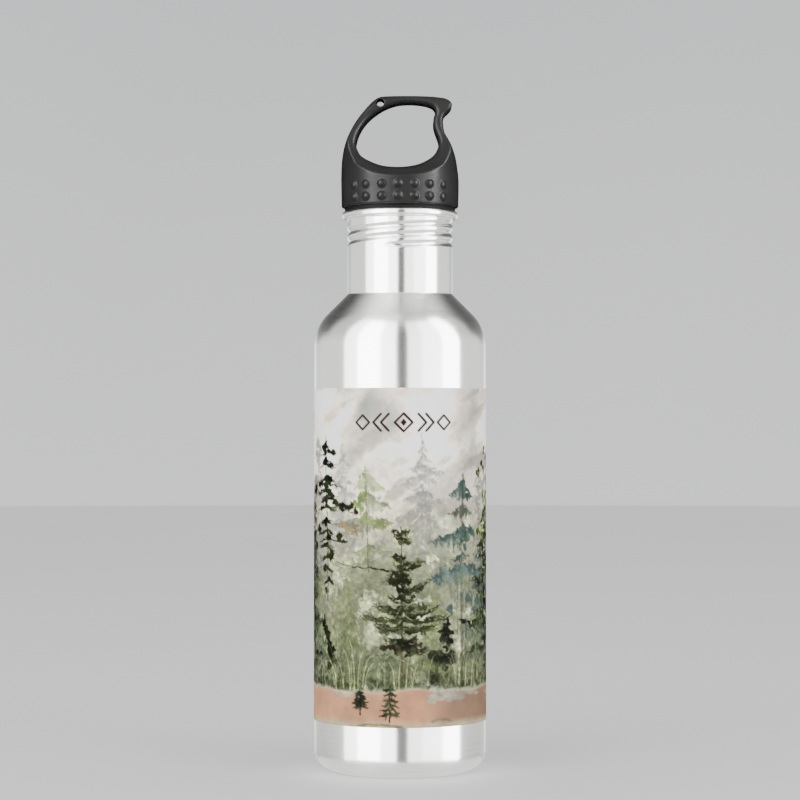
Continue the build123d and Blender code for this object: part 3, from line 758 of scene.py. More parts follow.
    # open light patches between the trees
    for (x, y, rs, rz) in [(368, 600, 5.5, 6.0), (374, 630, 3.0, 6), (348, 566, 2.5, 5), (432, 560, 2.5, 3), (467, 612, 3.5, 5), (402, 638, 9, 1.3), (318, 508, 1.6, 5), (339, 578, 3, 5),
                           (330, 590, 2.5, 5), (412, 600, 6, 1.8), (412, 617, 7, 1.2), (390, 612, 5, 1.2), (458, 640, 2.2, 8), (444, 522, 3, 3), (466, 520, 2, 2), (435, 514, 1.5, 4),
                           (343, 466, 1.8, 1.6), (349, 477, 3, 1.4), (366, 508, 3, 1.6)]:
        s, z = at(x, y)
        m = Mask(s - rs * 1.8 - 2, s + rs * 1.8 + 2, z - rz * 1.8 - 2, z + rz * 1.8 + 2)
        for q in range(40):
            m.blob(s + r.normal(0, rs * 0.45), z + r.normal(0, rz * 0.45), rs * 0.20 + 0.2, rz * 0.22 + 0.2, r.random() * 3, 0.9, 1.3)
        put(cv, m, (0.885, 0.88, 0.85), 0.72, (0.80, 0.805, 0.75), n3, n2, 0.0, 6.0, 0.34)

    # olive fir
    G, B_, L_ = (0.55, 0.585, 0.38), (0.60, 0.55, 0.46), (0.50, 0.53, 0.41)
    twigs(cv, [([(366.4, 466), (366.8, 492), (367.5, 512), (369, 545), (369.5, 572)], 0.9, 1.6)], (0.42, 0.46, 0.30), 0.8, warp=0.7, holes=0.33)
    tent(cv, noises, 366.4, 467, (355.5, 488), (388.5, 491), 5, (0.72, 0.74, 0.60), (0.83, 0.84, 0.75), 0.75, 21, 0.72, 0.32, 0.6, 0.8, L_)
    clumps(cv, noises, [(365, 480, 3, 7), (361, 485, 3, 4), (379, 488, 5, 2)], (0.63, 0.66, 0.48), (0.76, 0.78, 0.66), 0.6, 22)
    tent(cv, noises, 366.4, 489.5, (350.0, 503.5), (391.5, 507.5), 9, (0.70, 0.71, 0.60), (0.80, 0.80, 0.73), 0.7, 23, 0.7, 0.32, 0.6, 0.9, (0.43, 0.46, 0.33))
    clumps(cv, noises, [(361, 499, 5, 5), (356, 505, 5, 4), (365, 495, 2.5, 5), (360, 509, 4, 4)], G, (0.66, 0.70, 0.46), 0.85, 24, 0.33)
    clumps(cv, noises, [(378, 499, 5, 3), (386, 505, 4, 2.5)], (0.60, 0.62, 0.50), (0.75, 0.76, 0.68), 0.6, 25)
    tent(cv, noises, 367.5, 511.5, (335.5, 524), (397, 522), 14, (0.64, 0.645, 0.53), (0.76, 0.76, 0.68), 0.82, 26, 0.62, 0.30, 0.45, 0.8, (0.45, 0.46, 0.33))
    clumps(cv, noises, [(346, 525, 7, 3), (356, 528, 8, 4), (360, 533, 4, 4), (350, 530, 5, 3)], B_, (0.70, 0.64, 0.53), 0.80, 27, 0.31)
    clumps(cv, noises, [(373, 522, 6, 4), (380, 525, 6, 4), (387, 523, 4, 2.5), (364, 519, 4, 4)], G, (0.66, 0.69, 0.47), 0.80, 28, 0.31)
    tent(cv, noises, 369.2, 543, (356, 552), (391, 551), 8, (0.62, 0.65, 0.45), (0.74, 0.75, 0.60), 0.75, 29, 0.7, 0.34, 0.5, 0.6, (0.47, 0.50, 0.34))
    tent(cv, noises, 369.5, 556, (342, 568), (396, 566), 9, (0.62, 0.64, 0.49), (0.74, 0.745, 0.63), 0.6, 30, 0.7, 0.36, 0.5, 0.5, (0.50, 0.52, 0.40))

    # teal fir
    TE, TL = (0.30, 0.395, 0.375), (0.50, 0.585, 0.55)
    twigs(cv, [([(461.4, 472), (460.6, 505), (460.6, 562), (460.6, 684)], 0.9, 2.6)], (0.50, 0.455, 0.41), 0.85, warp=0.7, holes=0.26)
    tent(cv, noises, 461.4, 473, (447.8, 495.5), (471.2, 496), 9, (0.27, 0.36, 0.34), (0.40, 0.48, 0.455), 0.93, 31, 0.55, 0.31, 0.15, 0.9, (0.22, 0.29, 0.27))
    tent(cv, noises, 460.6, 501, (446.2, 513), (470.8, 511.5), 10, (0.39, 0.42, 0.36), (0.60, 0.61, 0.54), 0.93, 32, 0.62, 0.28, 0.25, 0.8, (0.30, 0.31, 0.27))
    tent(cv, noises, 460.6, 522, (425, 541), (478, 530), 14, (0.40, 0.50, 0.45), (0.60, 0.66, 0.59), 0.92, 33, 0.42, 0.29, 0.30, 1.2, (0.27, 0.33, 0.30))
    clumps(cv, noises, [(455, 533, 6, 6), (463, 536, 7, 7), (445, 538, 6, 4), (470, 531, 5, 5), (464, 545, 3, 5)], TE, (0.45, 0.54, 0.48), 0.80, 34, 0.31)
    tent(cv, noises, 460.6, 551.5, (448, 559), (469.5, 556), 4, (0.26, 0.35, 0.335), (0.42, 0.50, 0.46), 0.92, 35, 0.8, 0.32, 0.2)
    tent(cv, noises, 460.6, 560.5, (426, 579), (481, 569), 12, (0.40, 0.49, 0.48), (0.56, 0.63, 0.60), 0.93, 36, 0.5, 0.28, 0.22, 1.3, (0.25, 0.31, 0.31))
    clumps(cv, noises, [(446, 571, 9, 5), (436, 577, 6, 5), (471, 569, 8, 5), (456, 568, 5, 5), (476, 573, 4, 5)], (0.33, 0.43, 0.43), (0.50, 0.585, 0.57), 0.80, 37, 0.31)
    tent(cv, noises, 460.6, 584, (443, 595), (481, 597), 10, (0.56, 0.59, 0.52), (0.72, 0.73, 0.67), 0.85, 38, 0.6, 0.30, 0.35, 0.8, (0.42, 0.45, 0.40))
    clumps(cv, noises, [(470, 598, 4, 6), (476, 601, 4, 7), (466, 596, 2.5, 5), (449.5, 608, 2.5, 5), (480, 606, 2, 5)], (0.31, 0.41, 0.40), (0.50, 0.57, 0.53), 0.85, 39, 0.38)
    tent(cv, noises, 460.6, 617, (452, 630), (481, 632), 9, (0.50, 0.54, 0.44), (0.66, 0.68, 0.59), 0.7, 40, 0.6, 0.36, 0.4, 0.6, (0.38, 0.42, 0.34))
    clumps(cv, noises, [(468, 633, 4, 4), (474, 641, 5, 4)], (0.42, 0.48, 0.38), (0.60, 0.64, 0.54), 0.7, 41, 0.38)
    twigs(cv, [([(458.2, 585), (457.8, 640), (457, 684)], 1.4, 2.4), ([(463, 590), (463.4, 640)], 0.8, 1.2)], (0.84, 0.82, 0.78), 0.6, warp=0.7, holes=0.38)

    # tall dark pine at the left
    DK, DG = (0.10, 0.115, 0.06), (0.215, 0.24, 0.13)
    twigs(cv, [([(327.3, 436), (327.4, 470), (328.2, 500), (329.4, 540), (329.7, 600)], 1.0, 1.9)], DK, 0.92, warp=0.8, holes=0.26)
    clumps(cv, noises, [(325.5, 449, 4.2, 3.4), (327.3, 445, 2.0, 3.5), (334.8, 453.4, 3.6, 1.8), (330, 452, 2.5, 1.6), (327, 461, 2.4, 3), (325.5, 464, 3, 1.2), (333.5, 464, 4.0, 1.0),
                        (329.8, 478.5, 5.0, 4.0), (323, 483, 5.5, 2.2), (317.5, 487.5, 3.0, 5), (321.5, 492, 2.6, 1.6), (328, 487, 3.2, 3), (331, 492, 3.4, 3), (334, 496.6, 4.0, 1.1),
                        (327.5, 501.5, 2.4, 4), (337, 503.8, 4.5, 3.0), (343, 506.5, 4, 3.0), (350, 506, 5, 2.4), (354, 503.5, 2.5, 1.5), (357, 511, 1.5, 3), (324, 508, 2.4, 1.2),
                        (327.3, 521.5, 2.5, 5), (317, 519.5, 2.2, 3.5), (321.3, 529.5, 4, 4.6), (331, 536.5, 3.2, 2), (340.3, 537, 3.8, 4.2), (345.5, 540.5, 3.5, 1.0), (317.8, 545, 3.4, 4.6),
                        (333, 554, 3.6, 4.6), (326, 566, 2.0, 3), (331, 578, 1.8, 3), (327.5, 590, 1.6, 3)], DK, DG, 0.97, 42, 0.17, 36)
    twigs(cv, [([(330, 484), (337, 485), (344, 488)], 1.4, 0.6), ([(330, 480), (336, 482), (341, 480)], 1.2, 0.6), ([(331, 497), (338, 497.5), (341, 495.5)], 1.3, 0.6),
               ([(337, 504), (347, 509), (358, 515)], 1.6, 0.7), ([(330, 464), (335, 465), (339, 463)], 1.1, 0.6), ([(328, 506), (322, 510)], 1.1, 0.6)], (0.24, 0.30, 0.15), 0.85, holes=0.30)
    rb = np.random.default_rng(77)
    boughs = []
    for y, L, R in [(446, 4, 4), (452, 5, 9), (459, 5, 5), (465, 7, 11), (478, 9, 10), (484, 10, 13), (491, 10, 8), (498, 8, 12), (507, 9, 12), (521, 8, 6),
                    (531, 10, 8), (538, 8, 14), (546, 10, 8), (556, 7, 9), (568, 6, 7), (580, 5, 6)]:
        xt = 327.3 + (y - 436) * 0.016
        for side, w in ((-1, L), (1, R)):
            for q in range(3):
                k = w * (0.6 + 0.4 * rb.random())
                y0 = y + rb.normal(0, 1.1)
                boughs.append(([(xt, y0 - 1.5), (xt + side * k * 0.45, y0 + 0.6), (xt + side * k * 0.85, y0 + 2.4), (xt + side * k, y0 + 1.6 + 1.4 * rb.random())],
                               2.4 + 0.8 * rb.random(), 0.7))
    twigs(cv, boughs, DK, 0.9, DG, n3, 1.6, 0.24)
    clumps(cv, noises, [(337, 508.5, 4, 2.5), (339, 484, 4, 1.5), (331, 543, 2.5, 3)], (0.44, 0.50, 0.34), (0.60, 0.64, 0.50), 0.6, 43)

    # dark pine at the right edge, with yellow green needles
    clumps(cv, noises, [(483, 449, 2.2, 4), (481, 463, 3, 3), (477, 472, 3, 3.5), (483, 470, 2, 5), (482, 494, 2, 3), (484, 510, 2, 5), (477, 531, 4, 3.5), (482, 536, 3, 4), (481, 541, 3, 3),
                        (484, 560, 1.6, 5), (483, 590, 2, 5), (483, 602, 2, 4), (484, 618, 2, 6)], (0.17, 0.23, 0.11), (0.50, 0.56, 0.26), 0.9, 45, 0.22, 26)
    clumps(cv, noises, [(479, 469, 3, 2.5), (480, 529, 3, 3), (474, 533, 2.5, 2), (483, 500, 1.5, 3)], (0.66, 0.71, 0.36), (0.78, 0.80, 0.52), 0.85, 46, 0.38)

    # broad dark pine in the middle
    D1, D2 = (0.13, 0.14, 0.07), (0.36, 0.38, 0.25)
    twigs(cv, [([(401.3, 527), (401.7, 600), (402, 650)], 1.2, 2.6)], D1, 0.95, warp=0.8, holes=0.25)
    twigs(cv, [([(402, 648), (402, 690)], 2.6, 3.4)], (0.46, 0.40, 0.31), 0.9, warp=0.6, holes=0.22)
    brushed_tree(cv, noises, 401.5, [(533, 8, 10, 4, 3, 1.2), (540, 7, 11, 2.5, 3, 1.5), (548, 3, 4, 0, 2, 1), (556, 9, 6, 1, 4, 1.5), (563, 10, 25, 4, 4, 1.2), (572, 15, 11, -1, 5, 2), (579, 17, 12, 0, 6, 2.2),
                                              (590, 7, 27, 8, 4, 2.0), (598, 14, 17, 5, 4, 2.0), (607, 28, 20, 3, 5, 1.5), (613, 22, 39, 10, 4, 1.2), (619, 38, 46, 5, 5, 1.2),
                                              (628, 27, 36, 4, 6, 1.6), (641, 17, 16, 3, 4, 1.4), (650, 12, 26, 2, 4, 1.2)], D1, D2, 44, 3.1)
    twigs(cv, [([(338, 561.5), (352, 566), (372, 568), (390, 571), (401, 573)], 0.9, 2.4), ([(363, 618), (372, 620.5), (385, 619)], 0.9, 2.2), ([(450, 614.5), (438, 620), (420, 622)], 0.9, 2.2),
               ([(425, 563), (414, 568), (403, 570)], 0.9, 2.4), ([(372, 606), (384, 609.5), (396, 609)], 0.9, 2.6), ([(428, 583), (416, 590), (403, 595)], 0.9, 3.0)], D1, 0.9, (0.30, 0.33, 0.18), n3, 1.6, 0.28)
    clumps(cv, noises, [(400, 558, 6, 2.5), (398, 576, 9, 4), (404, 581, 7, 3), (395, 583, 5, 2.5), (401, 589, 4, 3), (401, 598, 5, 2)], D1, (0.25, 0.28, 0.13), 0.88, 48, 0.24, 24)
    clumps(cv, noises, [(386, 609, 7, 2.2), (420, 606, 7, 2.2), (392, 621, 10, 2.2), (418, 621, 12, 2.0), (386, 630, 7, 2.0), (420, 630, 10, 2.4)], (0.24, 0.27, 0.14), (0.40, 0.43, 0.27), 0.82, 49, 0.28, 22)

    # low dark trees near the ground
    clumps(cv, noises, [(446, 619, 1.2, 3), (445, 625, 3.5, 2.5), (440, 630, 4, 2), (447, 632, 4.5, 4), (441, 637, 4, 3), (448, 641, 4, 3), (446, 647, 3.5, 2), (434, 655, 8, 3.5), (445, 656, 9, 4.5),
                        (438, 661, 8, 3.5), (450, 660, 4, 4), (444, 667, 2, 3), (433.8, 678, 3.6, 4)], (0.095, 0.105, 0.05), (0.17, 0.19, 0.095), 0.98, 50, 0.06, 70)
    clumps(cv, noises, [(326.4, 615, 1.2, 3), (326, 622, 2.4, 3.5), (328, 629, 3.6, 4), (329, 636, 3.4, 4), (331, 643, 4.2, 4), (332.5, 651, 5.2, 5), (334, 658, 4.6, 4), (331, 664, 4, 3)],
           (0.10, 0.12, 0.06), (0.18, 0.21, 0.11), 0.98, 51, 0.06, 70)
    clumps(cv, noises, [(317, 625, 1.6, 6), (317, 642, 1.8, 6), (317, 660, 2.2, 7), (484, 640, 1.6, 7), (484, 660, 1.6, 6)], (0.20, 0.25, 0.13), (0.42, 0.46, 0.28), 0.85, 52, 0.36)
    for i, s in enumerate(np.linspace(48, CIRC - 48, 9)):
        zt = 108 + r.normal(0, 16)
        w = 15 + 18 * r.random()
        conifer(cv, s + r.normal(0, 4), zt, 38 + 16 * r.random(), w, (0.135, 0.165, 0.09), (0.33, 0.37, 0.20), 0.90, 400 + i, noises,
                tiers=13, droop=0.2, ragged=1.0, bare=0.04, trunk=0.9, gap=0.15, fringe=0.7, lift=0.08, dense=0.8, edge=0.06)

    # dark heart and reddish centre of the big pine's lowest tier
    s, z = at(402, 645.5)
    m = Mask(s - 16, s + 16, z - 6, z + 6)
    for q in range(70):
        u = r.normal(0, 3.8)
        m.blob(s + u, z + r.normal(0, 1.0) - abs(u) * 0.05, 1.2, 0.6 + 0.4 * r.random(), r.normal(0, 0.15), 0.9, 2)
    put(cv, m, (0.105, 0.105, 0.06), 0.85, (0.17, 0.125, 0.07), n3, n4, 0.05)
    m = Mask(s - 6, s + 6, z - 6, z + 2)
    for q in range(14):
        m.blob(s + r.normal(0, 1.3), z - 2.6 + r.normal(0, 0.25), 0.7, 0.28, r.normal(0, 0.2), 0.8, 2)
    put(cv, m, (0.60, 0.50, 0.39), 0.6)

    # undergrowth
    m = Mask(-CIRC / 2, CIRC / 2, 30, 72)
    for q in range(1700):
        s = (r.random() - 0.5) * CIRC
        z = 37 + abs(r.normal(0, 7.0))
        m.blob(s, z, 0.8 + 1.7 * r.random(), 0.6 + 1.3 * r.random(), r.random() * 3, 0.35 + 0.5 * r.random(), 1.6)
    put(cv, m, (0.40, 0.43, 0.30), 0.62, (0.56, 0.58, 0.45), n4, n3, 0.05)
    for (x, y, rs, rz, c) in [(378, 662, 8, 4, (0.42, 0.46, 0.36)), (380, 672, 9, 4, (0.34, 0.38, 0.26)), (425, 664, 8, 3.5, (0.37, 0.41, 0.22)), (326, 676, 6, 5, (0.20, 0.25, 0.15)),
                              (352, 676, 7, 4, (0.38, 0.42, 0.27)), (434, 676, 3, 3, (0.24, 0.27, 0.13)), (470, 668, 8, 4, (0.48, 0.50, 0.38)), (412, 684, 5, 2, (0.24, 0.30, 0.13)),
                              (343, 686, 6, 2, (0.25, 0.30, 0.14)), (462, 686, 9, 1.6, (0.30, 0.33, 0.18)), (320, 688, 5, 2, (0.24, 0.27, 0.16)), (390, 684, 8, 2, (0.36, 0.40, 0.24))]:
        s, z = at(x, y)
        m = Mask(s - rs * 2, s + rs * 2, z - rz * 2, z + rz * 2)
        for q in range(46):
            m.blob(s + r.normal(0, rs * 0.42), z + r.normal(0, rz * 0.42), 0.5 + rs * 0.14 * r.random(), 0.4 + rz * 0.2 * r.random(), r.random() * 3, 0.5 + 0.5 * r.random(), 1.8)
        put(cv, m, c, 0.72, tuple(min(1, v * 1.35) for v in c), n3, n4, 0.12)
    m = Mask(-CIRC / 2, CIRC / 2, 30, 60)
    for q in range(520):
        s = (r.random() - 0.5) * CIRC
        z = 37.3 + abs(r.normal(0, 2.2))
        m.blob(s, z, 0.6 + 1.0 * r.random(), 0.5 + 0.8 * r.random(), r.random() * 3, 0.4 + 0.5 * r.random(), 1.8)
    put(cv, m, (0.20, 0.225, 0.12), 0.80, (0.36, 0.39, 0.24), n2, n3, 0.05)
    # soft round bushes
    for (x, y, rx, ry) in [(381, 657, 8, 5), (379, 672, 9, 6), (352, 676, 7, 5), (422, 668, 8, 6), (415, 682, 7, 4), (395, 676, 6, 5), (468, 664, 7, 6), (343, 664, 5, 5), (392, 660, 5, 4), (456, 676, 6, 4)]:
        clumps(cv, noises, [(x, y, rx, ry)], (0.43, 0.465, 0.35), (0.62, 0.64, 0.51), 0.7, 700 + int(x), 0.33, 26)
        ring = [(x + rx * math.cos(t), y + ry * math.sin(t)) for t in np.linspace(3.3, 6.1, 9)]
        twigs(cv, [(ring, 0.6, 0.6)], (0.78, 0.78, 0.68), 0.6, holes=0.42)
        twigs(cv, [([(px, py + 1.1) for px, py in ring], 0.8, 0.8)], (0.25, 0.28, 0.17), 0.6, holes=0.42)
    # stalks that fan upwards, pale over dark
    for layer in range(3):
        m = Mask(-CIRC / 2 - 8, CIRC / 2 + 8, 30, 72)
        for q in range(62):
            s = (r.random() - 0.5) * CIRC
            z = 37 + 3 * r.random()
            L = 6 + 12 * r.random()
            lean = r.normal(0, 0.28)
            pts = [(s, z), (s + lean * L * 0.22, z + L * 0.5), (s + lean * L * 0.7, z + L * 0.85), (s + lean * L * 1.2, z + L)]
            m.stroke(pts, 0.45, 0.16, 0.85, 1.8)
        put(cv, m, [(0.28, 0.305, 0.19), (0.80, 0.795, 0.70), (0.66, 0.665, 0.53)][layer], 0.80, None, None, None, 0.0, 0.5, 0.33)
    for (x, y0, y1, lean) in [(352, 688, 648, -0.25), (356, 688, 640, -0.12), (359, 688, 650, 0.15), (364, 686, 655, 0.3), (345, 686, 662, -0.3), (338, 688, 660, -0.35), (366, 688, 662, 0.35),
                              (399, 688, 660, 0.05), (406, 688, 658, 0.1), (412, 688, 664, 0.25), (395, 688, 662, -0.2), (458, 684, 650, 0.0), (464, 684, 652, 0.12), (470, 684, 655, 0.2)]:
        s, z = at(x, y0)
        z1 = at(x, y1)[1]
        L = z1 - z
        m = Mask(s - 12, s + 12, z - 2, z1 + 2)
        m.stroke([(s, z), (s + lean * L * 0.15, z + L * 0.5), (s + lean * L * 0.55, z + L * 0.85), (s + lean * L, z1)], 0.6, 0.22, 0.9, 2)
        put(cv, m, (0.82, 0.815, 0.71), 0.85, warp=0.4)
    # pale and dark veins of dried colour through the woods
    for seed, cell, tone, a in ((21, 4.0, 0.87, 0.34), (22, 2.4, 0.84, 0.26), (23, 3.0, 0.20, 0.26), (24, 1.8, 0.24, 0.20)):
        v = value_noise(cell * 1.3, cell * 0.8, seed, 4)
        k = np.clip(1 - np.abs(v - 0.5) / 0.018, 0, 1) * np.clip((112 - ZZ) / 16, 0, 1) * a * np.clip((value_noise(6, 6, seed + 40, 3) - 0.42) * 7, 0, 1)
        lum = cv.mean(2)
        k = k * (np.clip(1.15 - lum, 0.3, 1) if tone > 0.5 else np.clip((0.82 - lum) * 4, 0, 1))
        c = np.array([tone, tone, tone * (0.95 if tone > 0.5 else 0.65)])
        cv = cv * (1 - k[..., None]) + c * k[..., None]
    g = (value_noise(1.5, 1.3, 31, 3) - 0.5) * np.clip((118 - ZZ) / 30, 0.15, 1)
    cv = cv * (1 + 0.30 * g[..., None])
    # sandy ground
    edge = 36.0 + 0.9 * np.sin(S * 0.11 + 0.7) * np.abs(np.cos(S * 0.04)) + 0.4 * np.sin(S * 0.31)
    g = np.clip((edge[None] + (n4 - 0.5) * 1.6 - ZZ) / 0.35, 0, 1)
    sand = np.array([0.80, 0.69, 0.605]) + ((n2 - 0.5) * 0.11)[..., None] + (n1 - 0.5)[..., None] * np.array([0.05, 0.09, 0.10])
    right = np.clip((SS - 6) / 18, 0, 1) * np.clip((60 - SS) / 10, 0, 1)
    sand = sand * (1 - 0.12 * right[..., None])
    k = (np.clip((24.6 - ZZ) / 2.5, 0, 1) * (0.3 + 1.1 * n4))[..., None]
    sand = sand + (np.array([0.775, 0.755, 0.69]) - sand) * np.clip(k, 0, 1)
    cv = cv * (1 - g[..., None]) + sand * g[..., None]
    # grey shore line
    k = np.exp(-((ZZ - edge[None] + 0.2) / 0.8) ** 2) * 0.55 * (0.4 + 1.1 * n4)
    cv = cv * (1 - k[..., None]) + np.array([0.80, 0.81, 0.76]) * k[..., None]
    # water patches
    for (x, y, rs, rz) in [(456, 691, 12, 1.3), (446, 697, 9, 1.2), (436, 689, 3, 1.6), (350, 693, 9, 0.8)]:
        s, z = at(x, y)
        m = Mask(s - rs * 1.4, s + rs * 1.4, z - 4, z + 4)
        for q in range(46):
            u = r.normal(0, 0.42)
            m.blob(s + u * rs, z + r.normal(0, rz * 0.4), rs * 0.22, rz * 0.6, r.normal(0, 0.05), 0.8, 1.6)
        put(cv, m, (0.765, 0.78, 0.75), 0.85, (0.88, 0.875, 0.85), n3, n2, 0.08, 0.8)
    for s0 in (62, 96, -84):
        m = Mask(s0 - 16, s0 + 16, 30, 38)
        for q in range(40):
            m.blob(s0 + r.normal(0, 5), 33.4 + r.normal(0, 0.6), 3.2, 0.7, 0, 0.8, 1.6)
        put(cv, m, (0.775, 0.79, 0.765), 0.8, (0.87, 0.87, 0.85), n3, n2, 0.05)
    # mounds
    for (s0, z0, w) in [(at(441, 720)[0], at(441, 720)[1], 4.6), (at(380, 724)[0], at(380, 724)[1] - 0.5, 9), (70, 24.5, 8), (-76, 25, 7)]:
        m = Mask(s0 - w * 1.5, s0 + w * 1.5, z0 - 3, z0 + 4)
        for q in range(50):
            u = (r.random() - 0.5) * 2
            m.blob(s0 + u * w, z0 + 1.0 * (1 - u * u) - 0.5 * r.random(), w * 0.14, 0.45, 0, 0.8, 1.6)
        put(cv, m, (0.545, 0.50, 0.36), 0.75, (0.66, 0.62, 0.49), n3, n2, 0.05, 0.6)

    # two small pines on the sand, more round the back
    def small(s, ztop, zlow, w, seed):
        q = np.random.default_rng(seed)
        m = Mask(s - 2, s + 2, zlow - 1, ztop)
        m.stroke([(s, zlow + 7), (s, zlow)], 0.4, 0.75, 1.0, 3)
        put(cv, m, (0.30, 0.18, 0.12), 0.95, warp=0.4)
        m = Mask(s - w, s + w, zlow, ztop + 2)
        H = ztop - zlow - 3.0
        m.stroke([(s, ztop), (s, ztop - H)], 0.45, 0.8, 1, 3)
        for t in np.linspace(0.16, 1, 6):
            for side in (-1, 1):
                L = w * 0.5 * (0.35 + 0.65 * t) * (0.8 + 0.4 * q.random()) * (0.8 if t > 0.9 else 1)
                z = ztop - H * t + q.normal(0, 0.15)
                bough(m, q, s, z + 0.5, s + side * L, z - 0.12 * L + q.normal(0, 0.2), 1.5, arch=0.06, fringe=0.9)
        put(cv, m, (0.10, 0.125, 0.075), 0.95, (0.30, 0.345, 0.22), n3, None, 0.0, 1.1, 0.30)
    small(at(361.5, 700)[0], at(362, 689)[1], at(362, 713)[1], 7.4, 51)
    small(at(390, 700)[0], at(390, 684)[1], at(390, 721)[1], 9.2, 52)
    for i, s0 in enumerate((58, 66, 98, -92, -66, -100)):
        small(s0, 38 + r.normal(0, 1), 25.5 + r.normal(0, 1), 8 + r.normal(0, 1), 60 + i)

    # ornament: a row of lozenges and chevrons, dark brown
    s_c, z_c = at(404, 422.5)
    m = Mask(s_c - 26, s_c + 26, z_c - 7, z_c + 7)

    def lozenge(sc, hw):
        for v in np.linspace(-hw, hw, int(2 * hw / (PX * 0.6)) + 1):
            w = (hw - abs(v)) * 0.8
            m.stroke([(sc - w, z_c + v), (sc + w, z_c + v)], 0.22, 0.22, 1.0, 4)

    def outline(sc, d, w):
        m.stroke([(sc - d, z_c), (sc, z_c + d), (sc + d, z_c), (sc, z_c - d), (sc - d, z_c)], w, w, 1.0, 4)
    outline(s_c, 3.6, 1.05)
    lozenge(s_c, 1.5)
    for side in (-1, 1):
        m.stroke([(s_c + side * 6.0, z_c + 3.4), (s_c + side * 9.2, z_c), (s_c + side * 6.0, z_c - 3.4)], 1.05, 1.05, 1.0, 4)
        m.stroke([(s_c + side * 9.2, z_c + 3.4), (s_c + side * 12.4, z_c), (s_c + side * 9.2, z_c - 3.4)], 1.05, 1.05, 1.0, 4)
        outline(s_c + side * 17.0, 2.9, 0.95)
    put(cv, m, (0.225, 0.13, 0.085), 0.97, None, None, None, 0.0, 0.0)
    # granulation of the wash
    cv *= (1 + (n3 - 0.5) * 0.05)[..., None]
    return np.clip(cv, 0, 1)


def wrap_mesh():
    cv = pigment(paint())
    fac = 2
    rows, cols = CH // fac, CW // fac
    img = cv[:rows * fac, :cols * fac].reshape(rows, fac, cols, fac, 3).mean((1, 3))
    seam = 0.7 / (2 * math.pi * WRAP_R) * 360
    # columns run from the back seam round the front to the back seam
    ang = -180 + seam / 2 + (360 - seam) * np.arange(cols) / (cols - 1)
    z = WRAP_TOP + (WRAP_LOW - WRAP_TOP) * np.arange(rows) / (rows - 1)
    a = np.radians(ang)
    n_edge = 3
    V, C = [], []

    def ring(r, zz, colours):
        V.append(np.stack([r * np.sin(a), -r * np.cos(a), np.full(cols, zz)], 1))
        C.append(colours)
    rin, rout = BODY_R + 0.012, WRAP_R
    ring(rin, WRAP_TOP, img[0])
    for i in range(rows):
        edge = min(i, rows - 1 - i)
        ring(rout - (0.03 if edge == 0 else 0), z[i], img[i])
    ring(rin, WRAP_LOW, img[-1])
    V = np.concatenate(V)
    C = np.concatenate(C)
    nr = rows + 2
    R, Cc = np.meshgrid(np.arange(nr - 1), np.arange(cols - 1), indexing="ij")
    F = np.stack([R * cols + Cc, (R + 1) * cols + Cc, (R + 1) * cols + Cc + 1, R * cols + Cc + 1], -1).reshape(-1, 4)
    # vertex pairs down the first column at the seam; they are not used further
    e0 = np.stack([np.arange(nr - 1) * cols, (np.arange(nr - 1) + 1) * cols], 1)
    ob = new_mesh("print_skin", V, F)
    ca = ob.data.color_attributes.new("paint", "FLOAT_COLOR", "POINT")
    ca.data.foreach_set("color", np.concatenate([C, np.ones((len(C), 1))], 1).astype(np.float32).ravel())
    return ob


# ------------------------------------------------------------------ materials
def nodes_of(name):
    m = bpy.data.materials.new(name)
    m.use_nodes = True
    t = m.node_tree
    t.nodes.clear()
    out = t.nodes.new("ShaderNodeOutputMaterial")
    b = t.nodes.new("ShaderNodeBsdfPrincipled")
    t.links.new(b.outputs[0], out.inputs[0])
    return m, t, b


def add(t, kind, **inputs):
    n = t.nodes.new(kind)
    for k, v in inputs.items():
        if k in n.inputs:
            n.inputs[k].default_value = v
        else:
            setattr(n, k, v)
    return n


def mapping(t, scale):
    co = t.nodes.new("ShaderNodeTexCoord")
    mp = t.nodes.new("ShaderNodeMapping")
    mp.inputs["Scale"].default_value = scale
    t.links.new(co.outputs["Object"], mp.inputs["Vector"])
    return mp


def cylindrical(t, around, along):
    """Vector of (cos(angle) * around, sin(angle) * around, height * along) for brushing round the axis."""
    co = t.nodes.new("ShaderNodeTexCoord")
    sep = t.nodes.new("ShaderNodeSeparateXYZ")
    t.links.new(co.outputs["Object"], sep.inputs[0])
    at2 = add(t, "ShaderNodeMath", operation="ARCTAN2")
    t.links.new(sep.outputs["X"], at2.inputs[0])
    t.links.new(sep.outputs["Y"], at2.inputs[1])
    # a seamless circle in noise space
    c = add(t, "ShaderNodeMath", operation="COSINE")
    s = add(t, "ShaderNodeMath", operation="SINE")
    t.links.new(at2.outputs[0], c.inputs[0])
    t.links.new(at2.outputs[0], s.inputs[0])
    mc = add(t, "ShaderNodeMath", operation="MULTIPLY")
    ms = add(t, "ShaderNodeMath", operation="MULTIPLY")
    mz = add(t, "ShaderNodeMath", operation="MULTIPLY")
    mc.inputs[1].default_value = around
    ms.inputs[1].default_value = around
    mz.inputs[1].default_value = along
    t.links.new(c.outputs[0], mc.inputs[0])
    t.links.new(s.outputs[0], ms.inputs[0])
    t.links.new(sep.outputs["Z"], mz.inputs[0])
    comb = t.nodes.new("ShaderNodeCombineXYZ")
    t.links.new(mc.outputs[0], comb.inputs[0])
    t.links.new(ms.outputs[0], comb.inputs[1])
    t.links.new(mz.outputs[0], comb.inputs[2])
    return comb


def ramp(t, fac, lo, hi, a, b):
    n = t.nodes.new("ShaderNodeMapRange")
    n.inputs["From Min"].default_value = lo
    n.inputs["From Max"].default_value = hi
    n.inputs["To Min"].default_value = a
    n.inputs["To Max"].default_value = b
    t.links.new(fac, n.inputs["Value"])
    return n.outputs["Result"]


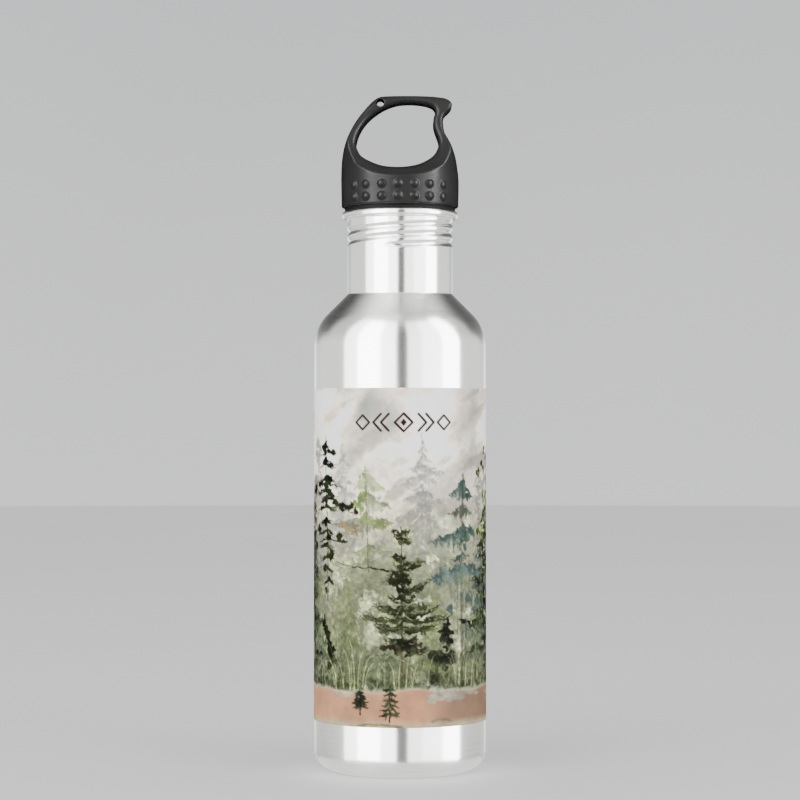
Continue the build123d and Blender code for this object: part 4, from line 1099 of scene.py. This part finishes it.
def steel(name, colour=(0.74, 0.735, 0.725), rough=0.20, brush=0.02, aniso=0.82):
    m, t, b = nodes_of(name)
    b.inputs["Metallic"].default_value = 1.0
    fine = add(t, "ShaderNodeTexNoise", Scale=1.0, Detail=3.0)
    t.links.new(cylindrical(t, 3.0, 2100.0).outputs[0], fine.inputs["Vector"])
    broad = add(t, "ShaderNodeTexNoise", Scale=1.0, Detail=4.0)
    t.links.new(mapping(t, (38, 38, 22)).outputs[0], broad.inputs["Vector"])
    mix = add(t, "ShaderNodeMix", data_type="RGBA")
    mix.inputs["A"].default_value = (*[c * 0.90 for c in colour], 1)
    mix.inputs["B"].default_value = (*[min(1, c * 1.07) for c in colour], 1)
    t.links.new(fine.outputs["Fac"], mix.inputs["Factor"])
    t.links.new(mix.outputs["Result"], b.inputs["Base Color"])
    r1 = ramp(t, fine.outputs["Fac"], 0.3, 0.7, rough - 0.03, rough + 0.03)
    r2 = ramp(t, broad.outputs["Fac"], 0.35, 0.7, -0.015, 0.03)
    sm = add(t, "ShaderNodeMath", operation="ADD")
    t.links.new(r1, sm.inputs[0])
    t.links.new(r2, sm.inputs[1])
    t.links.new(sm.outputs[0], b.inputs["Roughness"])
    b.inputs["Anisotropic"].default_value = aniso
    tg = t.nodes.new("ShaderNodeTangent")
    tg.direction_type = "RADIAL"
    tg.axis = "Z"
    t.links.new(tg.outputs[0], b.inputs["Tangent"])
    b.inputs["Anisotropic Rotation"].default_value = 0.25      # glints stretch across the brushing
    bp = t.nodes.new("ShaderNodeBump")
    bp.inputs["Strength"].default_value = brush
    bp.inputs["Distance"].default_value = 0.0002
    t.links.new(fine.outputs["Fac"], bp.inputs["Height"])
    t.links.new(bp.outputs[0], b.inputs["Normal"])
    return m


def plastic(name, colour, rough, grain, scale=2600.0, spec=0.5):
    m, t, b = nodes_of(name)
    g = add(t, "ShaderNodeTexNoise", Scale=scale, Detail=3.0)
    co = t.nodes.new("ShaderNodeTexCoord")
    t.links.new(co.outputs["Object"], g.inputs["Vector"])
    w = add(t, "ShaderNodeTexNoise", Scale=90.0, Detail=5.0)
    t.links.new(co.outputs["Object"], w.inputs["Vector"])
    mix = add(t, "ShaderNodeMix", data_type="RGBA")
    mix.inputs["A"].default_value = (*[c * 0.85 for c in colour], 1)
    mix.inputs["B"].default_value = (*[c * 1.2 for c in colour], 1)
    t.links.new(w.outputs["Fac"], mix.inputs["Factor"])
    t.links.new(mix.outputs["Result"], b.inputs["Base Color"])
    t.links.new(ramp(t, w.outputs["Fac"], 0.3, 0.7, rough - 0.05, rough + 0.06), b.inputs["Roughness"])
    b.inputs["Specular IOR Level"].default_value = spec
    bp = t.nodes.new("ShaderNodeBump")
    bp.inputs["Strength"].default_value = grain
    bp.inputs["Distance"].default_value = 0.0001
    t.links.new(g.outputs["Fac"], bp.inputs["Height"])
    t.links.new(bp.outputs[0], b.inputs["Normal"])
    return m


def printed(name):
    m, t, b = nodes_of(name)
    at_ = t.nodes.new("ShaderNodeAttribute")
    at_.attribute_name = "paint"
    co = t.nodes.new("ShaderNodeTexCoord")
    n = add(t, "ShaderNodeTexNoise", Scale=1500.0, Detail=4.0)
    t.links.new(co.outputs["Object"], n.inputs["Vector"])
    n2 = add(t, "ShaderNodeTexNoise", Scale=260.0, Detail=6.0)
    t.links.new(co.outputs["Object"], n2.inputs["Vector"])
    v = ramp(t, n2.outputs["Fac"], 0.25, 0.75, 0.95, 1.05)
    mul = add(t, "ShaderNodeVectorMath", operation="SCALE")
    t.links.new(at_.outputs["Color"], mul.inputs[0])
    t.links.new(v, mul.inputs["Scale"])
    t.links.new(mul.outputs[0], b.inputs["Base Color"])
    t.links.new(ramp(t, n2.outputs["Fac"], 0.3, 0.7, 0.40, 0.52), b.inputs["Roughness"])
    b.inputs["Specular IOR Level"].default_value = 0.12
    bp = t.nodes.new("ShaderNodeBump")
    bp.inputs["Strength"].default_value = 0.05
    bp.inputs["Distance"].default_value = 0.0001
    t.links.new(n.outputs["Fac"], bp.inputs["Height"])
    t.links.new(bp.outputs[0], b.inputs["Normal"])
    return m


def assign(ob, mat):
    ob.data.materials.clear()
    ob.data.materials.append(mat)


M_STEEL = steel("steel_brushed")
M_BASE = steel("steel_spun", (0.70, 0.695, 0.685), 0.24, 0.03, 0.5)
M_CAP = plastic("cap_plastic", (0.0165, 0.0163, 0.0160), 0.34, 0.12, spec=0.32)
M_PLUG = plastic("plug_plastic", (0.014, 0.014, 0.0145), 0.40, 0.10, spec=0.3)
M_LINER = plastic("liner_plastic", (0.62, 0.62, 0.60), 0.5, 0.12)
M_GASKET = plastic("gasket_rubber", (0.008, 0.008, 0.008), 0.6, 0.2, spec=0.2)
M_PRINT = printed("printed_film")

bottle = bottle_mesh()
assign(bottle, M_STEEL)
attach(bottle, "bottle")
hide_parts("body_shell")

wrap = wrap_mesh()
assign(wrap, M_PRINT)
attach(wrap, "bottle")
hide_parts("print_wrap")

cap = cap_mesh()
assign(cap, M_CAP)
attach(cap, "cap")
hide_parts("cap_shell")

for node, mat in (("base_disc", M_BASE), ("thread_plug", M_PLUG), ("plug_liner", M_LINER), ("cap_gasket", M_GASKET)):
    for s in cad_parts[node].material_slots:
        s.material = mat

# ----------------------------------------------------------------------- set
fl = new_mesh("floor", [(-4000, -4000, 0), (4000, -4000, 0), (4000, 4000, 0), (-4000, 4000, 0)], [(0, 1, 2, 3)], False)
m, t, b = nodes_of("floor_paint")
n = add(t, "ShaderNodeTexNoise", Scale=3.0, Detail=4.0)
co = t.nodes.new("ShaderNodeTexCoord")
t.links.new(co.outputs["Object"], n.inputs["Vector"])
mx = add(t, "ShaderNodeMix", data_type="RGBA")
mx.inputs["A"].default_value = (0.50, 0.505, 0.51, 1)
mx.inputs["B"].default_value = (0.54, 0.545, 0.55, 1)
t.links.new(n.outputs["Fac"], mx.inputs["Factor"])
t.links.new(mx.outputs["Result"], b.inputs["Base Color"])
b.inputs["Roughness"].default_value = 0.75
assign(fl, m)
fl.visible_glossy = False
fl.visible_shadow = False

world = bpy.data.worlds.new("studio")
bpy.context.scene.world = world
world.use_nodes = True
wt = world.node_tree
bg = wt.nodes["Background"]
bg.inputs["Color"].default_value = (1.0, 1.0, 0.99, 1)
bg.inputs["Strength"].default_value = 1.75


def collection(name, objs):
    c = bpy.data.collections.new(name)
    for o in objs:
        c.objects.link(o)
    return c


DULL = collection("receives_keys", [wrap, cap, fl] + [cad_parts[n] for n in ("thread_plug", "plug_liner", "cap_gasket")])
BRIGHT = collection("receives_banks", [bottle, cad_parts["base_disc"]])


def panel(name, az, dist, height, w, h, radiance, only, aim=None):
    """Soft box at an azimuth counted from -Y towards +X; it lights only the pieces in one collection."""
    L = bpy.data.lights.new(name, "AREA")
    L.shape = "RECTANGLE"
    L.size, L.size_y = w, h
    L.energy = radiance * math.pi * w * h
    o = bpy.data.objects.new(name, L)
    a = math.radians(az)
    p = Vector((math.sin(a) * dist, -math.cos(a) * dist, height))
    to = Vector((0, 0, height)) if aim is None else Vector(aim)
    o.location = p
    o.rotation_euler = (to - p).to_track_quat("-Z", "Y").to_euler()
    o.visible_camera = False
    bpy.context.scene.collection.objects.link(o)
    o.light_linking.receiver_collection = only
    return o


def flag(name, pts, shade):
    """Card that only polished faces see, so that they have something dark to reflect."""
    o = new_mesh(name, pts, [(0, 1, 2, 3)], False)
    m, t, b = nodes_of(name + "_card")
    n = add(t, "ShaderNodeTexNoise", Scale=2.0, Detail=3.0)
    co = t.nodes.new("ShaderNodeTexCoord")
    t.links.new(co.outputs["Object"], n.inputs["Vector"])
    em = t.nodes.new("ShaderNodeEmission")
    mx = add(t, "ShaderNodeMix", data_type="RGBA")
    mx.inputs["A"].default_value = (shade * 0.9, shade * 0.9, shade * 0.88, 1)
    mx.inputs["B"].default_value = (shade * 1.1, shade * 1.1, shade * 1.08, 1)
    t.links.new(n.outputs["Fac"], mx.inputs["Factor"])
    t.links.new(mx.outputs["Result"], em.inputs["Color"])
    out = [q for q in t.nodes if q.type == "OUTPUT_MATERIAL"][0]
    t.links.new(em.outputs[0], out.inputs["Surface"])
    assign(o, m)
    o.visible_camera = o.visible_diffuse = o.visible_shadow = o.visible_transmission = False
    return o


# tall banks that draw the white bands on the steel, brighter away from the middle
def bank(name, az0, az1, radiance):
    d = 1.6
    w = 2 * d * math.tan(math.radians(abs(az1 - az0) / 2))
    panel(name, (az0 + az1) / 2, d, 0.65, w, 4.3, radiance, BRIGHT)


bank("bank_left_outer", -79, -58, 5.0)
bank("bank_left_mid", -58, -26, 12.5)
bank("bank_left_inner", -26, -5, 6.0)
bank("bank_right_inner", 10, 30, 3.4)
bank("bank_right_mid", 30, 58, 5.6)
bank("bank_right_outer", 58, 86, 12.0)
# keys for everything else
panel("key_left", -38, 1.7, 0.75, 1.3, 1.3, 4.2, DULL, aim=(0, 0, 0.14))
panel("key_right", 50, 1.7, 0.65, 0.9, 1.3, 4.2, DULL, aim=(0, 0, 0.14))
# strips that draw the two glints on the black cap
CAPS = collection("receives_strips", [cap] + [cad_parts[n] for n in ("thread_plug", "cap_gasket")])
panel("strip_left", -60, 1.6, 0.70, 0.42, 1.6, 9.0, CAPS, aim=(0, 0, 0.25))
panel("strip_right", 71, 1.6, 0.70, 0.16, 1.6, 34.0, CAPS, aim=(0, 0, 0.25))


def card(az0, az1, dist, z0, z1):
    a0, a1 = math.radians(az0), math.radians(az1)
    return [(math.sin(a0) * dist, -math.cos(a0) * dist, z0), (math.sin(a1) * dist, -math.cos(a1) * dist, z0),
            (math.sin(a1) * dist, -math.cos(a1) * dist, z1), (math.sin(a0) * dist, -math.cos(a0) * dist, z1)]


flag("flag_front", card(-5.5, 10.5, 2300, -1500, 3600), 0.16)
flag("flag_low", [(-1300, -1300, -420), (1300, -1300, -420), (1300, 1300, -420), (-1300, 1300, -420)], 1.6).light_linking.receiver_collection = BRIGHT

# surround that only polished faces see: mid grey walls, a dark belt up behind, a paler ceiling
el_d = np.linspace(-24, 90, 58)
az_d = np.arange(-180, 180, 3.0)
EL, AZ = np.meshgrid(el_d, az_d, indexing="ij")
base_ = np.interp(EL, [-24, -8, 0, 8, 24, 60, 75, 90], [1.3, 1.55, 1.75, 1.7, 1.15, 1.05, 1.2, 1.0])
dark_l = np.interp(EL, [0, 5, 10, 17, 22, 27, 33, 40, 46, 51, 56, 60, 66, 72, 80, 90],
                   [1.75, 1.1, 0.34, 0.22, 0.15, 0.12, 0.10, 0.13, 0.28, 0.55, 0.95, 1.4, 2.1, 2.7, 2.0, 1.1])
dark_r = np.interp(EL, [0, 5, 10, 17, 22, 27, 33, 40, 46, 51, 56, 60, 66, 72, 80, 90],
                   [1.75, 1.1, 0.34, 0.24, 0.19, 0.16, 0.14, 0.18, 0.34, 0.60, 0.85, 0.92, 1.0, 1.05, 1.05, 1.0])
left_ = np.clip((0.25 - np.sin(np.radians(AZ))) / 0.5, 0, 1)
dark_ = dark_l * left_ + dark_r * (1 - left_)
k_ = np.clip((np.abs(AZ) - (108 + 20 * np.clip((18 - EL) / 10, 0, 1))) / 16, 0, 1)
k_ = np.maximum(k_ * k_ * (3 - 2 * k_), np.clip((EL - 55) / 8, 0, 1))
shade_ = base_ * (1 - k_) + dark_ * k_
low_ = np.clip((12 - EL) / 8, 0, 1)
back_ = np.interp(np.abs(AZ), [148, 153, 170, 174, 180], [1.0, 1.5, 1.5, 0.35, 0.30])
shade_ = shade_ * (1 - low_) + shade_ * back_ * low_
side_ = np.interp(np.abs(AZ), [80, 105, 140, 180], [1.0, 0.62, 0.48, 0.45])
under_ = np.clip((-4 - EL) / 6, 0, 1)
shade_ = shade_ * (1 - under_) + shade_ * side_ * under_
P_ = np.stack([3400 * np.cos(np.radians(EL)) * np.sin(np.radians(AZ)), -3400 * np.cos(np.radians(EL)) * np.cos(np.radians(AZ)), 3400 * np.sin(np.radians(EL)) + 100], -1).reshape(-1, 3)
room = new_mesh("surround", P_, lathe_faces(len(el_d), len(az_d), False))
ca_ = room.data.color_attributes.new("shade", "FLOAT_COLOR", "POINT")
sh_ = shade_.reshape(-1, 1)
ca_.data.foreach_set("color", np.concatenate([sh_, sh_, sh_ * 0.985, np.ones_like(sh_)], 1).astype(np.float32).ravel())
m, t, b = nodes_of("surround_paper")
em = t.nodes.new("ShaderNodeEmission")
at_ = t.nodes.new("ShaderNodeAttribute")
at_.attribute_name = "shade"
n = add(t, "ShaderNodeTexNoise", Scale=1.5, Detail=3.0)
co = t.nodes.new("ShaderNodeTexCoord")
t.links.new(co.outputs["Object"], n.inputs["Vector"])
mul = add(t, "ShaderNodeVectorMath", operation="SCALE")
t.links.new(at_.outputs["Color"], mul.inputs[0])
t.links.new(ramp(t, n.outputs["Fac"], 0.3, 0.7, 0.96, 1.04), mul.inputs["Scale"])
t.links.new(mul.outputs[0], em.inputs["Color"])
out = [q for q in t.nodes if q.type == "OUTPUT_MATERIAL"][0]
t.links.new(em.outputs[0], out.inputs["Surface"])
assign(room, m)
room.visible_camera = room.visible_diffuse = room.visible_shadow = room.visible_transmission = False
room.light_linking.receiver_collection = BRIGHT

# backdrop that only the camera sees: a glowing dome with painted light, near white low down and a darker grey higher
# up, a soft mid tone behind the polished edges
rows, cols = 25, 48
el = np.radians(np.linspace(-6, 90, rows))
az = np.arange(cols) * 2 * math.pi / cols
E_, A_ = np.meshgrid(el, az, indexing="ij")
dome = new_mesh("backdrop", np.stack([3900 * np.cos(E_) * np.sin(A_), -3900 * np.cos(E_) * np.cos(A_), 3900 * np.sin(E_)], -1).reshape(-1, 3),
                lathe_faces(rows, cols, False))
m, t, b = nodes_of("backdrop_painted_glow")
em = t.nodes.new("ShaderNodeEmission")
co = t.nodes.new("ShaderNodeTexCoord")
sep = t.nodes.new("ShaderNodeSeparateXYZ")
t.links.new(co.outputs["Object"], sep.inputs[0])
n = add(t, "ShaderNodeTexNoise", Scale=0.7, Detail=3.0)
t.links.new(co.outputs["Object"], n.inputs["Vector"])
# painted light falloff: the glow is near white at the floor and a darker grey 2.2 m up
mx = add(t, "ShaderNodeMix", data_type="RGBA")
mx.inputs["A"].default_value = (0.98, 0.99, 1.0, 1)
mx.inputs["B"].default_value = (0.60, 0.62, 0.65, 1)
t.links.new(ramp(t, sep.outputs["Z"], 0.0, 2.2, 0.0, 1.0), mx.inputs["Factor"])
mul = add(t, "ShaderNodeVectorMath", operation="SCALE")
t.links.new(mx.outputs["Result"], mul.inputs[0])
t.links.new(ramp(t, n.outputs["Fac"], 0.3, 0.7, 0.97, 1.03), mul.inputs["Scale"])
t.links.new(mul.outputs[0], em.inputs["Color"])
out = [q for q in t.nodes if q.type == "OUTPUT_MATERIAL"][0]
t.links.new(em.outputs[0], out.inputs["Surface"])
assign(dome, m)
dome.visible_glossy = dome.visible_diffuse = dome.visible_shadow = dome.visible_transmission = False

cam = bpy.data.cameras.new("view")
cam.sensor_width = 36.0
cam.lens = 36.0 * 2500 / 800
co_ = bpy.data.objects.new("view", cam)
bpy.context.scene.collection.objects.link(co_)
co_.location = (0.0, -1.035, 0.14206)
tilt = math.atan(25.0 / 2500)
co_.rotation_euler = (math.pi / 2 + tilt, 0, 0)
bpy.context.scene.camera = co_
